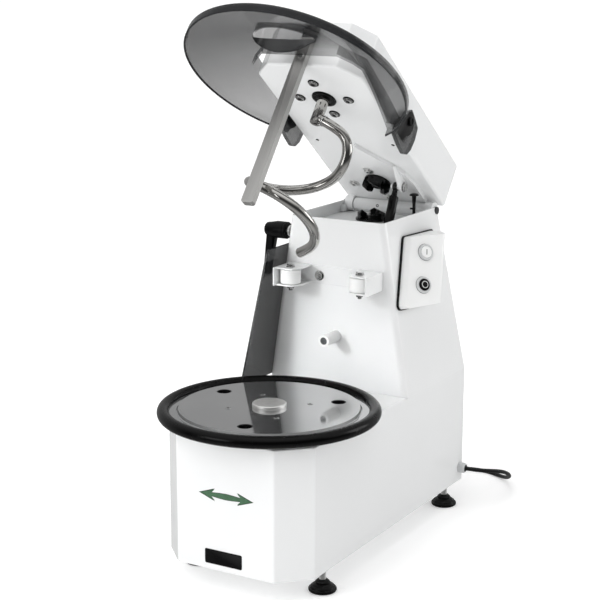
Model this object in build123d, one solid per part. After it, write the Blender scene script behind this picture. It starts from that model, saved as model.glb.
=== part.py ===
from build123d import *
import math
import os

os.makedirs("parts", exist_ok=True)

# Lifting-head spiral dough mixer, head raised. Millimetres.
# X: right when facing the machine, -Y: front, +Z: up, floor at Z = 0.

# ---------------------------------------------------------------- driving dimensions
ORIGIN_Y = 314.855        # front face of the base to the origin
FOOT_H = 46.0             # underside of the base above the floor
BASE_W = 293.0
BASE_D = 648.0
FRONT_CUT = 50.0          # slanted front corners of the base
DECK_Z = 278.0            # top of the base
SEAM_Z = 275.0            # where walls end and deck and column begin
SHEET = 2.0               # base sheet
COL_TOP = 597.0
COL_HW_TOP = 97.3         # half width of the column at its top
COL_SHEET = 2.5
COL_Y0, COL_Y1 = 384.7, 380.7       # column front at its foot and at its top
COL_R0, COL_R1 = 648.0, 606.8       # column rear at its foot and at its top

TABLE_Y = 145.1           # turntable axis
RING_R = 184.7            # middle of the rubber ring
RING_T = 11.0
RING_Z = 295.2
PLATE_R = 160.0
PLATE_Z = 302.0
PIN_HOLE_R = 13.5         # three holes for the bowl's pins
DRIVE_Y = 522.0           # drive shaft axis
PLATE_TOP = 575.0         # upper plate inside the column

HINGE_Y, HINGE_Z = 600.0, 590.5     # head hinge axis, along X
PIN_R = 7.0
TILT = 37.719             # head angle when raised, degrees
HEAD_ORG_Y, HEAD_ORG_Z = 450.0, 730.42
HEAD_HW = 104.7
HEAD_H = 91.0
HEAD_FRONT, HEAD_REAR = -250.0, 222.0
NOSE_HW = 69.0
SPIN_S = -147.0           # spiral axis along the head
SPIN_R = 10.5
ROD_R = 9.0               # spiral bar
BAR_N = -278.0            # lower end of the breaker bar
LID_S = -254.0            # lid centre along the head
LID_R = 200.0
LID_T = 3.0
LID_PIVOT = (-40.5, 27.7)

CORD_R = 4.0
COIL_C = (-70.0, 740.0)
COIL_R = 44.0

RUN = 0.06                # running clearance of shafts, radial
SNUG = 0.02               # fixed fit, radial

# ---------------------------------------------------------------- helpers
NODES = {}


def box(x0, x1, y0, y1, z0, z1):
    return Pos((x0 + x1) / 2, (y0 + y1) / 2, (z0 + z1) / 2) * Box(x1 - x0, y1 - y0, z1 - z0)


def vcyl(x, y, z0, z1, r):
    return Pos(x, y, (z0 + z1) / 2) * Cylinder(r, z1 - z0)


def rod(p, q, r):
    v = Vector(*q) - Vector(*p)
    return Plane(origin=p, z_dir=v) * (Pos(0, 0, v.length / 2) * Cylinder(r, v.length))


def face(pts):
    return make_face(Polyline(*pts, close=True))


def prism(pts, z0, z1):
    return Pos(0, 0, z0) * extrude(face(pts), amount=z1 - z0)


def hexa(x, y, z0, z1, r):
    return Pos(x, y, z0) * extrude(RegularPolygon(r, 6), amount=z1 - z0)


def spun(pts, x=0.0, y=0.0):
    """Turned piece: (radius, height) outline about a vertical axis."""
    sk = Plane.XZ * face(pts)
    return Pos(x, y, 0) * revolve(sk, Axis.Z)


def put(name, *solids):
    NODES[name] = [s.solid() if hasattr(s, "solid") and len(s.solids()) == 1 else s for s in solids]


def sector(r0, r1, a0, a1, z0, z1, x=0.0, y=0.0):
    n = 8
    out = [(r1 * math.cos(math.radians(a0 + (a1 - a0) * i / n)), r1 * math.sin(math.radians(a0 + (a1 - a0) * i / n))) for i in range(n + 1)]
    inn = [(r0 * math.cos(math.radians(a0 + (a1 - a0) * i / n)), r0 * math.sin(math.radians(a0 + (a1 - a0) * i / n))) for i in range(n, -1, -1)]
    return Pos(x, y, 0) * prism(out + inn, z0, z1)


# ---------------------------------------------------------------- base
HW = BASE_W / 2
base_pts = [(-HW + FRONT_CUT, 0), (HW - FRONT_CUT, 0), (HW, FRONT_CUT), (HW, BASE_D), (-HW, BASE_D), (-HW, FRONT_CUT)]
base_sk = face(base_pts)
base_sk = fillet(base_sk.vertices(), 6)
GLAND_Y, GLAND_Z = 631.0, 73.0
walls = Pos(0, 0, FOOT_H) * (extrude(base_sk, amount=SEAM_Z - FOOT_H) - extrude(offset(base_sk, -SHEET), amount=SEAM_Z - FOOT_H))
walls -= rod((HW - 6, GLAND_Y, GLAND_Z), (HW + 6, GLAND_Y, GLAND_Z), 8.0)
put("base_walls", walls)

deck = Pos(0, 0, SEAM_Z) * extrude(base_sk, amount=DECK_Z - SEAM_Z)
deck = deck & box(-200, 200, -10, COL_Y0 - 0.1, SEAM_Z - 1, DECK_Z + 1)
edge_top = [e for e in deck.edges() if abs(e.center().Z - DECK_Z) < 1e-4 and e.center().Y < COL_Y0 - 1]
deck = fillet(edge_top, 2.4)
deck -= vcyl(0, TABLE_Y, SEAM_Z - 1, DECK_Z + 1, 22)
put("deck_plate", deck)

FEET = [(-127.7, 110.0), (127.7, 110.0), (-126.6, 604.0), (126.6, 604.0)]
floor_plate = Pos(0, 0, FOOT_H) * extrude(offset(base_sk, -SHEET - 0.1), amount=2.5)
for fx, fy in FEET:
    floor_plate -= vcyl(fx, fy, FOOT_H - 1, FOOT_H + 4, 6.1)
put("floor_plate", floor_plate)

pad = [(0, 0), (21.5, 0), (24.0, 1.6), (24.8, 4.2), (24.2, 7.2), (21.5, 10.6), (17.0, 13.2), (13.2, 14.6), (12.2, 16.6), (10.6, 19.4), (7.5, 21.3), (6, 21.8), (0, 21.8)]
put("foot_pads", *[spun(pad, fx, fy) for fx, fy in FEET])
put("foot_studs", *[vcyl(fx, fy, 21.8, 62, 6) + hexa(fx, fy, 37, FOOT_H, 9.6) + hexa(fx, fy, FOOT_H + 2.5, FOOT_H + 10.5, 9.6) for fx, fy in FEET])

# ---------------------------------------------------------------- column
K = (HW - COL_HW_TOP) / (COL_TOP - SEAM_Z)      # side taper per mm of height
VS = math.hypot(1, K)


def col_front(z):
    return COL_Y0 + (COL_Y1 - COL_Y0) * (z - SEAM_Z) / (COL_TOP - SEAM_Z)


def col_x(z):
    return HW - K * (z - SEAM_Z)


def frustum(t, r_front, r_rear, more=0.0):
    """The tapered column t mm inside its outer skin, its ends moved out by more."""
    z0, z1 = SEAM_Z - more, COL_TOP + more

    def at(v0, v1, z):
        return v0 + (v1 - v0) * (z - SEAM_Z) / (COL_TOP - SEAM_Z)

    b, c = at(HW, COL_HW_TOP, z0) - t, at(HW, COL_HW_TOP, z1) - t
    wide = Plane(origin=(0, 700, 0), x_dir=(1, 0, 0), z_dir=(0, -1, 0)) * extrude(face([(-b, z0), (b, z0), (c, z1), (-c, z1)]), amount=400)
    f0, f1 = at(COL_Y0, COL_Y1, z0) + t, at(COL_Y0, COL_Y1, z1) + t
    q0, q1 = at(COL_R0, COL_R1, z0) - t, at(COL_R0, COL_R1, z1) - t
    deep = Plane(origin=(-200, 0, 0), x_dir=(0, 1, 0), z_dir=(1, 0, 0)) * extrude(face([(f0, z0), (q0, z0), (q1, z1), (f1, z1)]), amount=400)
    body = (wide & deep).solid()
    up = [e for e in body.edges() if abs(e.tangent_at(0.5).Z) > 0.5]
    body = fillet([e for e in up if e.center().Y < 500], r_front)
    up = [e for e in body.edges() if abs(e.tangent_at(0.5).Z) > 0.5 and e.center().Y > 580 and e.length > 200]
    return fillet(up, r_rear)


col_out = frustum(0.0, 12.0, 6.0)
col_in = frustum(COL_SHEET, 9.5, 3.5, 8.0)
column = col_out - col_in
col_mid = frustum(1.2, 10.8, 4.8, 8.0)
for sx in (-1, 1):
    lug = rod((sx * 76.8, HINGE_Y, HINGE_Z), (sx * 94.4, HINGE_Y, HINGE_Z), 15.0)
    web = box(min(sx * 89.5, sx * 110.0), max(sx * 89.5, sx * 110.0), 575, 600, PLATE_TOP + 1, HINGE_Z) & col_mid
    column += lug + web
column -= box(-76.5, 76.5, 584, 640, 577, 610)                                    # opening behind the hinge tube
column -= rod((-120, HINGE_Y, HINGE_Z), (120, HINGE_Y, HINGE_Z), PIN_R + SNUG)
column -= rod((0, 370, 377), (0, 400, 377), 5.0 + SNUG)                       # stop peg screw
column -= rod((-33, 370, 489), (-33, 400, 489), 4.0 + SNUG)                   # roller bracket bolt
LEVER_Y, LEVER_Z = 400.0, 563.0
column -= rod((-125, LEVER_Y, LEVER_Z), (-90, LEVER_Y, LEVER_Z), 6.0 + SNUG)  # clamp stud
put("column_shell", column)

bearing_plate = box(-130, 130, 380, 650, PLATE_TOP - 5, PLATE_TOP) & col_in
bearing_plate += vcyl(0, DRIVE_Y, 545, PLATE_TOP, 28)
bearing_plate -= vcyl(0, DRIVE_Y, 540, 580, 10 + RUN)
bearing_plate -= box(33, 57, 484, 526, 560, 580)                               # gas spring passes here
PLUNGER = (70.0, 560.5)
bearing_plate -= vcyl(*PLUNGER, 560, 580, 3 + RUN) + box(PLUNGER[0] - 9.5, PLUNGER[0], PLUNGER[1] - 2.2, PLUNGER[1] + 2.2, 560, 580)
put("bearing_plate", bearing_plate)

# gas spring pivots, head raised
GAS_X = 45.0
GAS_TOP = (GAS_X, 532.7, 641.2)
GAS_LOW = (GAS_X, 430.5, 404.6)

motor_plate = box(-140, 140, 380, 655, 420, 426) & col_in
motor_plate -= vcyl(0, DRIVE_Y, 415, 430, 12)
motor_plate -= box(32, 58, 400, 460, 415, 430)
anchor = box(60, 66, 420, 441, 394, 420) + rod((38, GAS_LOW[1], GAS_LOW[2]), (60, GAS_LOW[1], GAS_LOW[2]), 5)
motor_plate += anchor
put("motor_plate", motor_plate)

motor = vcyl(0, DRIVE_Y, 165, 330, 68)
for i in range(16):
    a = math.radians(22.5 * i)
    fin = Pos(0, DRIVE_Y, 0) * (Rot(0, 0, 22.5 * i) * box(66, 76, -2, 2, 185, 320))
    motor += fin
motor += box(-72, 72, DRIVE_Y - 62, DRIVE_Y + 72, 330, 420)
motor -= vcyl(0, DRIVE_Y, 160, 425, 10 + RUN)
put("gear_motor", motor)

drive = vcyl(0, DRIVE_Y, 70, 583, 10)
put("drive_shaft", drive)
SPROCKET_Z = (84.0, 92.0)
put("drive_sprocket", vcyl(0, DRIVE_Y, *SPROCKET_Z, 28) - vcyl(0, DRIVE_Y, 80, 96, 10 + SNUG))

ALONG = Plane(origin=(0, 0, 0), x_dir=(0, 1, 0), z_dir=(1, 0, 0))
ACROSS = Plane(origin=(0, 40, 0), x_dir=(1, 0, 0), z_dir=(0, -1, 0))


def jaw(r0, r1, half, foot, eave, peak, turn):
    """Coupling jaw with a hipped end, standing between the radii r0 and r1."""
    w = r1 * math.sin(math.radians(half)) + 0.4
    m = (r0 + r1) / 2
    lo, hi = min(foot, peak), max(foot, peak)
    body = sector(r0, r1, -half, half, lo, hi)
    body &= ALONG * extrude(face([(-w, foot), (w, foot), (w, eave), (0, peak), (-w, eave)]), amount=r1 + 5)
    body &= ACROSS * extrude(face([(r0 - 0.6, foot), (r1 + 0.6, foot), (r1 + 0.6, eave), (m, peak), (r0 - 0.6, eave)]), amount=80)
    return Rot(0, 0, turn) * body


JAWS = (345.0, 105.0, 225.0)          # lower jaws; the upper ones stand half a pitch further round
hub = vcyl(0, 0, 576, 580, 31) + vcyl(0, 0, 576, 586, 12.5)
for a in JAWS:
    hub += jaw(12.0, 27.5, 22, 579, 589.5, 595.8, a)
hub -= vcyl(0, 0, 570, 583, 10 + SNUG)
put("lower_coupling", Pos(0, DRIVE_Y, 0) * hub)

plunger = spun([(0, 540), (3, 540), (3, 604), (4.2, 619), (4.2, 621.6), (8.9, 622.4), (8.9, 624), (7.2, 625.8), (4, 626.9), (0, 627.2)], *PLUNGER)
plunger += rod((PLUNGER[0] - 7.5, PLUNGER[1], 597), (PLUNGER[0], PLUNGER[1], 597), 1.8)
put("switch_plunger", plunger)

# ---------------------------------------------------------------- turntable
disc = spun([(0, 290.5), (177, 290.5), (177, 296.5), (162, 296.5), (PLATE_R, 297.5), (PLATE_R - 1.5, PLATE_Z), (0, PLATE_Z)], 0, TABLE_Y)
for a in (42.3, 162.3, 282.3):
    disc -= vcyl(124 * math.cos(math.radians(a)), TABLE_Y + 124 * math.sin(math.radians(a)), 285, 310, PIN_HOLE_R)
ring = Pos(0, TABLE_Y, RING_Z) * Torus(RING_R, RING_T)
ring -= vcyl(0, TABLE_Y, 290.5, 296.5, 177)
put("turntable_ring", ring)
bowl_shaft = vcyl(0, TABLE_Y, 72, 290.5, 15)
put("turntable_disc", disc)
put("turntable_shaft", bowl_shaft)
put("turntable_boss", spun([(0, PLATE_Z), (30, PLATE_Z), (30, 307.6), (28.6, 309), (0, 309)], 0, TABLE_Y))
screws = []
for a in (41, 131, 221, 311):
    x, y = 72.6 * math.cos(math.radians(a)), TABLE_Y + 72.6 * math.sin(math.radians(a))
    screws.append(spun([(0, PLATE_Z), (5, PLATE_Z), (5, 302.5), (4.2, 303), (0, 303)], x, y))
put("turntable_screws", *screws)
put("bowl_sprocket", vcyl(0, TABLE_Y, *SPROCKET_Z, 84) - vcyl(0, TABLE_Y, 80, 96, 15 + SNUG))
housing = vcyl(0, TABLE_Y, 185, SEAM_Z, 36) + vcyl(0, TABLE_Y, 266, SEAM_Z, 58)
housing -= vcyl(0, TABLE_Y, 180, 280, 15 + RUN)
put("bowl_bearing", housing)


def loop(c0, r0, c1, r1):
    """Outline of a belt or chain round two wheels on the Y axis of a plane."""
    d = c1 - c0
    b = math.asin((r1 - r0) / d)
    pts0 = [(r0 * math.cos(math.radians(t)), c0 + r0 * math.sin(math.radians(t))) for t in range(0, 1)]
    e0 = (r0 * math.cos(b), c0 - r0 * math.sin(b))
    e1 = (r1 * math.cos(b), c1 - r1 * math.sin(b))
    line_r = Line(e0, e1)
    line_l = Line((-e1[0], e1[1]), (-e0[0], e0[1]))
    far = ThreePointArc(e1, (0, c1 + r1), (-e1[0], e1[1]))
    near = ThreePointArc((-e0[0], e0[1]), (0, c0 - r0), e0)
    return make_face([line_r, far, line_l, near])


chain = extrude(loop(TABLE_Y, 90, DRIVE_Y, 34), amount=6) - extrude(loop(TABLE_Y, 84.6, DRIVE_Y, 28.6), amount=6)
put("drive_chain", Pos(0, 0, 85) * chain)

# ---------------------------------------------------------------- pieces on the column's front
BR_Z0, BR_Z1 = 474.0, 508.0
bracket = box(-97, 97, 378.8, 381.6, BR_Z0, BR_Z1)
for sx in (-1, 1):
    bracket += box(min(sx * 94, sx * 97), max(sx * 94, sx * 97), 317, 381.6, BR_Z0, BR_Z1)
    ear = [(sx * 97, 381.6), (sx * 50, 381.6), (sx * 50, 345), (sx * 60, 322), (sx * 97, 322)]
    bracket += prism(ear, BR_Z0, BR_Z0 + 3) + prism(ear, BR_Z1 - 3, BR_Z1)
    bracket -= vcyl(sx * 72, 340, BR_Z0 - 1, BR_Z1 + 1, 4 + SNUG)
bracket -= rod((-33, 370, 489), (-33, 390, 489), 4.0 + SNUG)
put("roller_bracket", bracket)
for sx, name in ((-1, "roller_left"), (1, "roller_right")):
    r = spun([(4 + RUN, 478), (17.5, 478), (19, 479.5), (19, 502.5), (17.5, 504), (4 + RUN, 504)], sx * 72, 340)
    put(name, r)
bolts = []
for sx in (-1, 1):
    b = vcyl(sx * 72, 340, 464, 514, 4) + hexa(sx * 72, 340, BR_Z1, 514, 7.5) + hexa(sx * 72, 340, 467.5, BR_Z0, 7.5)
    bolts.append(b)
centre_bolt = rod((-33, 373, 489), (-33, 390, 489), 4) + rod((-33, 377.4, 489), (-33, 378.8, 489), 9.5)
centre_bolt += Plane(origin=(-33, 372.5, 489), z_dir=(0, 1, 0)) * extrude(RegularPolygon(7.5, 6), amount=4.9)
bolts.append(centre_bolt)
put("roller_bolts", *bolts)

peg = rod((0, 336, 377), (0, col_front(377) - 0.2, 377), 11) + rod((0, 380, 377), (0, 394, 377), 5)
peg -= rod((0, 330, 377), (0, 339, 377), 7)
put("stop_peg", peg)

# ---------------------------------------------------------------- pieces on the column's sides
SIDE_R = Plane(origin=(HW, 0, SEAM_Z), x_dir=(0, 1, 0), z_dir=(1, 0, K))
SIDE_L = Plane(origin=(-HW, 0, SEAM_Z), x_dir=(0, -1, 0), z_dir=(-1, 0, K))


def up(z, off=0.0):
    """Height along the slanted side for a point at height z, off mm outside it."""
    return (z - SEAM_Z - off * K / VS) * VS


BOX_T = 4.0               # seal under the control housing
BOX_TURN = 33.0           # its face is turned towards the front, about a line along its front edge
box_pts = [(389.5, up(438.5)), (520.5, up(429)), (573.5, up(558)), (445.5, up(563))]
box_sk = face(box_pts)
box_sk = fillet(box_sk.vertices(), 9)
ex, ey = box_pts[3][0] - box_pts[0][0], box_pts[3][1] - box_pts[0][1]
EL = math.hypot(ex, ey)
ex, ey = ex / EL, ey / EL
SLICE = Plane(origin=(box_pts[0][0] + ex * (EL + 40), box_pts[0][1] + ey * (EL + 40), 0), x_dir=(ey, -ex, 0), z_dir=(-ex, -ey, 0))
RISE = math.tan(math.radians(BOX_TURN))
FACE_W = 17.0
CREST = 60.0
crest_w = FACE_W + RISE * (CREST - 3)
profile = face([(-1.0, BOX_T), (3.0, FACE_W), (CREST + 4, crest_w + 4 * RISE), (118, 13), (122, BOX_T)])
tops = profile.vertices().sort_by(Axis.Y)
profile = fillet(tops[-1], 8)
profile = fillet(profile.vertices().sort_by(Axis.X)[1], 8)
shape_out = SLICE * extrude(profile, amount=EL + 90)
shape_in = SLICE * extrude(face([(1.6, BOX_T - 2), (5.2, FACE_W - 1.9), (CREST - 3.4, crest_w - 5.4), (CREST + 5.6, crest_w - 5.6), (115.0, 10.2), (118, BOX_T - 2)]), amount=EL + 90)
ctrl = extrude(box_sk, amount=70, taper=4) & shape_out
ctrl -= extrude(offset(box_sk, -2.6), amount=70, taper=4) & shape_in


def side(u, v, w):
    return Vector(HW - v * K / VS + w / VS, u, SEAM_Z + v / VS + w * K / VS)


CT, ST = math.cos(math.radians(BOX_TURN)), math.sin(math.radians(BOX_TURN))
zero = side(0, 0, 0)
FACE_O = side(box_pts[0][0] + 3 * ey, box_pts[0][1] - 3 * ex, FACE_W)
FACE = Plane(origin=FACE_O, x_dir=side(ey * CT, -ex * CT, ST) - zero, z_dir=side(-ey * ST, ex * ST, CT) - zero)
START, STOP = (33.0, 115.4), (33.3, 53.6)
housing_box = SIDE_R * ctrl
for bx, by in (START, STOP):
    housing_box -= FACE * vcyl(bx, by, -14, 6, 11.4)
put("control_box", housing_box)
gasket = extrude(offset(box_sk, 2.0), amount=BOX_T) - extrude(offset(box_sk, -2.6), amount=BOX_T)
put("control_gasket", SIDE_R * gasket)
put("button_bezels", *[FACE * spun([(11.4, 0), (15.3, 0), (15.3, 2.5), (13.6, 4), (11.4, 4)], bx, by) for bx, by in (START, STOP)])
put("start_button", FACE * spun([(0, -7), (11, -7), (11, 4), (9.6, 5), (0, 5)], *START))
put("stop_button", FACE * spun([(0, -7), (11, -7), (11, 5), (9.2, 6.4), (0, 6.8)], *STOP))

guard_pts = [(-316, up(539)), (-284, up(283)), (-452, up(283)), (-452, up(541))]
guard_sk = face(guard_pts)
guard_sk = fillet(guard_sk.vertices(), 8)
guard = extrude(guard_sk, amount=3.5)
panel_screws = []
GUARD_SCREWS = [(-425, up(335)), (-425, up(425)), (-437, up(520))]
for gx, gy in GUARD_SCREWS:
    guard -= vcyl(gx, gy, -1, 5, 2.5 + SNUG)
    panel_screws.append(SIDE_L * spun([(0, 0), (2.5, 0), (2.5, 3.5), (5, 3.5), (5, 5), (3.5, 6.2), (0, 6.2)], gx, gy))
put("side_guard", SIDE_L * guard)
put("panel_screws", *panel_screws)

XL = -col_x(LEVER_Z)
stud = rod((XL + 12, LEVER_Y, LEVER_Z), (XL - 2.6, LEVER_Y, LEVER_Z), 6)
stud += rod((XL - 2.6, LEVER_Y, LEVER_Z), (-114, LEVER_Y, LEVER_Z), 9.5) + rod((-114, LEVER_Y, LEVER_Z), (-140, LEVER_Y, LEVER_Z), 5)
put("lever_stud", stud)
grip = rod((-114.3, LEVER_Y, LEVER_Z), (-160, LEVER_Y, LEVER_Z), 12.5)
grip = fillet([e for e in grip.edges() if e.center().X < -159], 4)
arm = loft([
    Plane(origin=(-147, LEVER_Y, LEVER_Z - 4), x_dir=(1, 0, 0), z_dir=(-0.14, 0, -1)) * RectangleRounded(20, 18, 5),
    Plane(origin=(-159, LEVER_Y, LEVER_Z - 86), x_dir=(1, 0, 0), z_dir=(-0.14, 0, -1)) * RectangleRounded(12, 16, 4),
])
lever = grip + arm
lever -= rod((-110, LEVER_Y, LEVER_Z), (-140.4, LEVER_Y, LEVER_Z), 5 + RUN)
put("clamp_lever", lever)

pin = rod((-101.2, HINGE_Y, HINGE_Z), (101.2, HINGE_Y, HINGE_Z), PIN_R)
put("hinge_pin", pin)

plate_sk = Plane.XZ * (Pos(-3.5, 69, 0) * RectangleRounded(74, 26, 2.5))
put("blank_plate", extrude(plate_sk, amount=0.8))

# ---------------------------------------------------------------- gland and mains lead
gland = rod((HW, GLAND_Y, GLAND_Z), (158.5, GLAND_Y, GLAND_Z), 11) + rod((158.5, GLAND_Y, GLAND_Z), (160.5, GLAND_Y, GLAND_Z), 9.5)
gland += rod((134, GLAND_Y, GLAND_Z), (HW, GLAND_Y, GLAND_Z), 8.0 - SNUG)
gland += Plane(origin=(HW - SHEET - 5, GLAND_Y, GLAND_Z), z_dir=(1, 0, 0)) * extrude(RegularPolygon(11, 6), amount=4.95)
put("cable_gland", gland)

ROUTE = [(160.5, 631, 73), (182, 631, 73), (203, 638.5, 73), (218, 655, 70), (223, 677, 62.5), (221, 704, 50.5), (212.5, 734, 36),
         (199, 764, 21.5), (180, 791, 9), (155, 811, 4), (127, 822, 4), (96, 821, 4), (65, 810, 4), (34, 797, 4), (2, 788, 4), (-30, 784.6, 4), (-62, 784, 4)]
radii = []
for a, b, c in zip(ROUTE[:-2], ROUTE[1:-1], ROUTE[2:]):
    v1, v2 = Vector(*b) - Vector(*a), Vector(*c) - Vector(*b)
    turn = v1.get_angle(v2)
    radii.append(0.45 * min(v1.length, v2.length) / math.tan(math.radians(turn) / 2))
lead_path = FilletPolyline(*ROUTE, radius=radii)
lead_sk = Plane(origin=ROUTE[0], z_dir=Vector(*ROUTE[1]) - Vector(*ROUTE[0])) * Circle(CORD_R)
lead = sweep(lead_sk, path=lead_path)
put("cord_lead", lead)
print("lead radii", [round(r) for r in radii])
print("lead length", round(lead_path.length, 1), "volume", round(lead.volume), "section x length", round(math.pi * CORD_R ** 2 * lead_path.length))
coil = spun([(COIL_R - 9, 0), (COIL_R + 9, 0), (COIL_R + 9, 17), (COIL_R - 9, 17)], *COIL_C)
put("cord_coil", coil)
PLUG_Y = COIL_C[1] - COIL_R
plug = rod((-58, PLUG_Y, 12), (-30, PLUG_Y, 18), 6.5) + rod((-32, PLUG_Y, 18), (2, PLUG_Y, 18), 17.5)
plug += rod((2, PLUG_Y - 9.5, 18), (21, PLUG_Y - 9.5, 18), 2.4) + rod((2, PLUG_Y + 9.5, 18), (21, PLUG_Y + 9.5, 18), 2.4)
put("mains_plug", plug)

# ---------------------------------------------------------------- head, in its own frame: x across, y = s along it towards the hinge, z = n up from its underside
SA, CA = math.sin(math.radians(TILT)), math.cos(math.radians(TILT))
HEAD = Plane(origin=(0, HEAD_ORG_Y, HEAD_ORG_Z), x_dir=(1, 0, 0), z_dir=(0, SA, CA))


def to_head(y, z):
    dy, dz = y - HEAD_ORG_Y, z - HEAD_ORG_Z
    return dy * CA - dz * SA, dy * SA + dz * CA


HS, HN = to_head(HINGE_Y, HINGE_Z)
COUP_S = HS - (HINGE_Y - DRIVE_Y)         # coupling axis: lines up with the drive shaft when closed
print("hinge in head frame", round(HS, 2), round(HN, 2), "coupling s", round(COUP_S, 2))


def puth(name, *solids):
    put(name, *[HEAD * s for s in solids])


head_pts = [(-NOSE_HW, HEAD_FRONT), (NOSE_HW, HEAD_FRONT), (HEAD_HW, HEAD_FRONT + HEAD_HW - NOSE_HW), (HEAD_HW, HEAD_REAR), (-HEAD_HW, HEAD_REAR), (-HEAD_HW, HEAD_FRONT + HEAD_HW - NOSE_HW)]
head_sk = face(head_pts)
head_sk = fillet(head_sk.vertices(), 6)
WALL_N = HEAD_H - 3.0
casing = extrude(head_sk, amount=WALL_N)
casing = fillet([e for e in casing.edges() if abs(e.center().Z) < 1e-4], 5)
casing -= Pos(0, 0, 2) * extrude(offset(head_sk, -SHEET), amount=WALL_N)
casing -= vcyl(0, SPIN_S, -5, 10, 23 + SNUG)
casing -= vcyl(0, COUP_S, -5, 10, 18 + SNUG)
for sx in (-1, 1):
    casing -= vcyl(sx * 79, 0, -5, 10, 3.5)
    casing -= rod((sx * 90, *LID_PIVOT), (sx * 120, *LID_PIVOT), 4 + SNUG)
puth("head_casing", casing)
cover = Pos(0, 0, WALL_N) * extrude(head_sk, amount=HEAD_H - WALL_N)
cover = fillet([e for e in cover.edges() if abs(e.center().Z - HEAD_H) < 1e-4], 2.4)
cover += Pos(0, 0, WALL_N - 8) * (extrude(offset(head_sk, -SHEET - 0.1), amount=8) - extrude(offset(head_sk, -SHEET - 1.6), amount=8))
puth("head_top_cover", cover)

plate_pts = [(0, 2), (56, 73), (70, 96), (76, 130), (76, 183), (75.5, 189), (75.5, 212), (-75.5, 212), (-75.5, 189), (-86, 183), (-86, 130), (-58, 76)]
hinge_plate = prism(plate_pts, -8, 0)
hinge_plate += vcyl(0, COUP_S, -8, 30, 18)
hinge_plate -= vcyl(0, COUP_S, -10, 40, 9 + RUN)
gs, gn = to_head(GAS_TOP[1], GAS_TOP[2])
gusset = face([(66, -7), (gs + 9, -7), (gs + 9, gn - 3), (gs + 4, gn - 9), (gs - 7, gn - 9)])
hinge_plate += ALONG * (Pos(0, 0, 55) * extrude(gusset, amount=6)) + rod((36, gs, gn), (66, gs, gn), 5)
hinge_plate -= rod((-90, HS, HN), (90, HS, HN), 12)
puth("hinge_plate", hinge_plate)
tube = rod((-76, HS, HN), (76, HS, HN), 12) - rod((-80, HS, HN), (80, HS, HN), PIN_R + RUN)
puth("hinge_tube", tube)

puth("bar_block", box(-12, 12, -262, HEAD_FRONT, 50, 74))
bar = box(-11, 11, -262, HEAD_FRONT - 0.02, BAR_N, 49.7)
bar = fillet([e for e in bar.edges() if abs(e.center().Z - BAR_N) < 1e-4 and abs(e.center().X) > 10], 4)
puth("breaker_bar", bar)


def head_screw(x, y, n, r=10.4):
    return spun([(0, n), (r, n), (r, n - 3), (r - 2, n - 4.4), (0, n - 4.4)][::-1], x, y)


sc = []
for a in (0, 90, 180, 270):
    sc.append(head_screw(49 * math.cos(math.radians(a)), SPIN_S + 49 * math.sin(math.radians(a)), 0))
for px, py in ((-5, 88), (0, 184), (-57, 142)):
    sc.append(head_screw(px, py, -8))
sc.append(rod((1.5, -265, 11.5), (1.5, -262, 11.5), 6.0))
puth("head_screws", *sc)

bearing = vcyl(0, SPIN_S, 0, 60, 23) - vcyl(0, SPIN_S, -1, 61, SPIN_R + RUN)
puth("spindle_bearing", bearing)

# spiral: bar bent round the spindle axis, from the spindle's lower end
turns = [(8, 30, -50), (20, 60, -62), (27, 71.5, -86), (38, 72.5, -110), (62, 73.5, -125), (90, 75, -139), (118, 75, -154), (146, 75, -168), (174, 75, -180.5), (202, 75, -194),
         (230, 75, -208.5), (258, 75, -223), (286, 75, -235), (314, 73.5, -245), (342, 70.5, -253), (370, 68.5, -259), (398, 69, -262.5), (420, 71, -266.5), (440, 73, -272)]
SP = [(0, SPIN_S, -40)] + [(p * math.cos(math.radians(a)), SPIN_S + p * math.sin(math.radians(a)), n) for a, p, n in turns]
sp_rad = []
for a, b, c in zip(SP[:-2], SP[1:-1], SP[2:]):
    v1, v2 = Vector(*b) - Vector(*a), Vector(*c) - Vector(*b)
    sp_rad.append(0.45 * min(v1.length, v2.length) / math.tan(math.radians(v1.get_angle(v2)) / 2))
print("spiral radii", [round(r) for r in sp_rad])
sp_path = FilletPolyline(*SP, radius=sp_rad)
sp_sk = Plane(origin=SP[0], z_dir=Vector(*SP[1]) - Vector(*SP[0])) * Circle(ROD_R)
hook = sweep(sp_sk, path=sp_path)
print("spiral volume", round(hook.volume), "section x length", round(math.pi * ROD_R ** 2 * sp_path.length))
hook += vcyl(0, SPIN_S, -46, 72, SPIN_R)
puth("spiral_hook", hook)
puth("spindle_sprocket", vcyl(0, SPIN_S, 64, 71, 45) - vcyl(0, SPIN_S, 60, 75, SPIN_R + SNUG))

coupling = vcyl(0, 0, -13, 72, 9) + vcyl(0, 0, -12, -8.4, 26) + vcyl(0, 0, 64, 71, 27)
for a in JAWS:
    coupling += jaw(13.0, 27, 33, -11, -22, -27.4, a + 60)
coupling = Pos(0, COUP_S, 0) * coupling
puth("upper_coupling", coupling)
hchain = extrude(loop(SPIN_S, 50.5, COUP_S, 32.5), amount=5) - extrude(loop(SPIN_S, 45.6, COUP_S, 27.6), amount=5)
puth("head_chain", Pos(0, 0, 65) * hchain)

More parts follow.
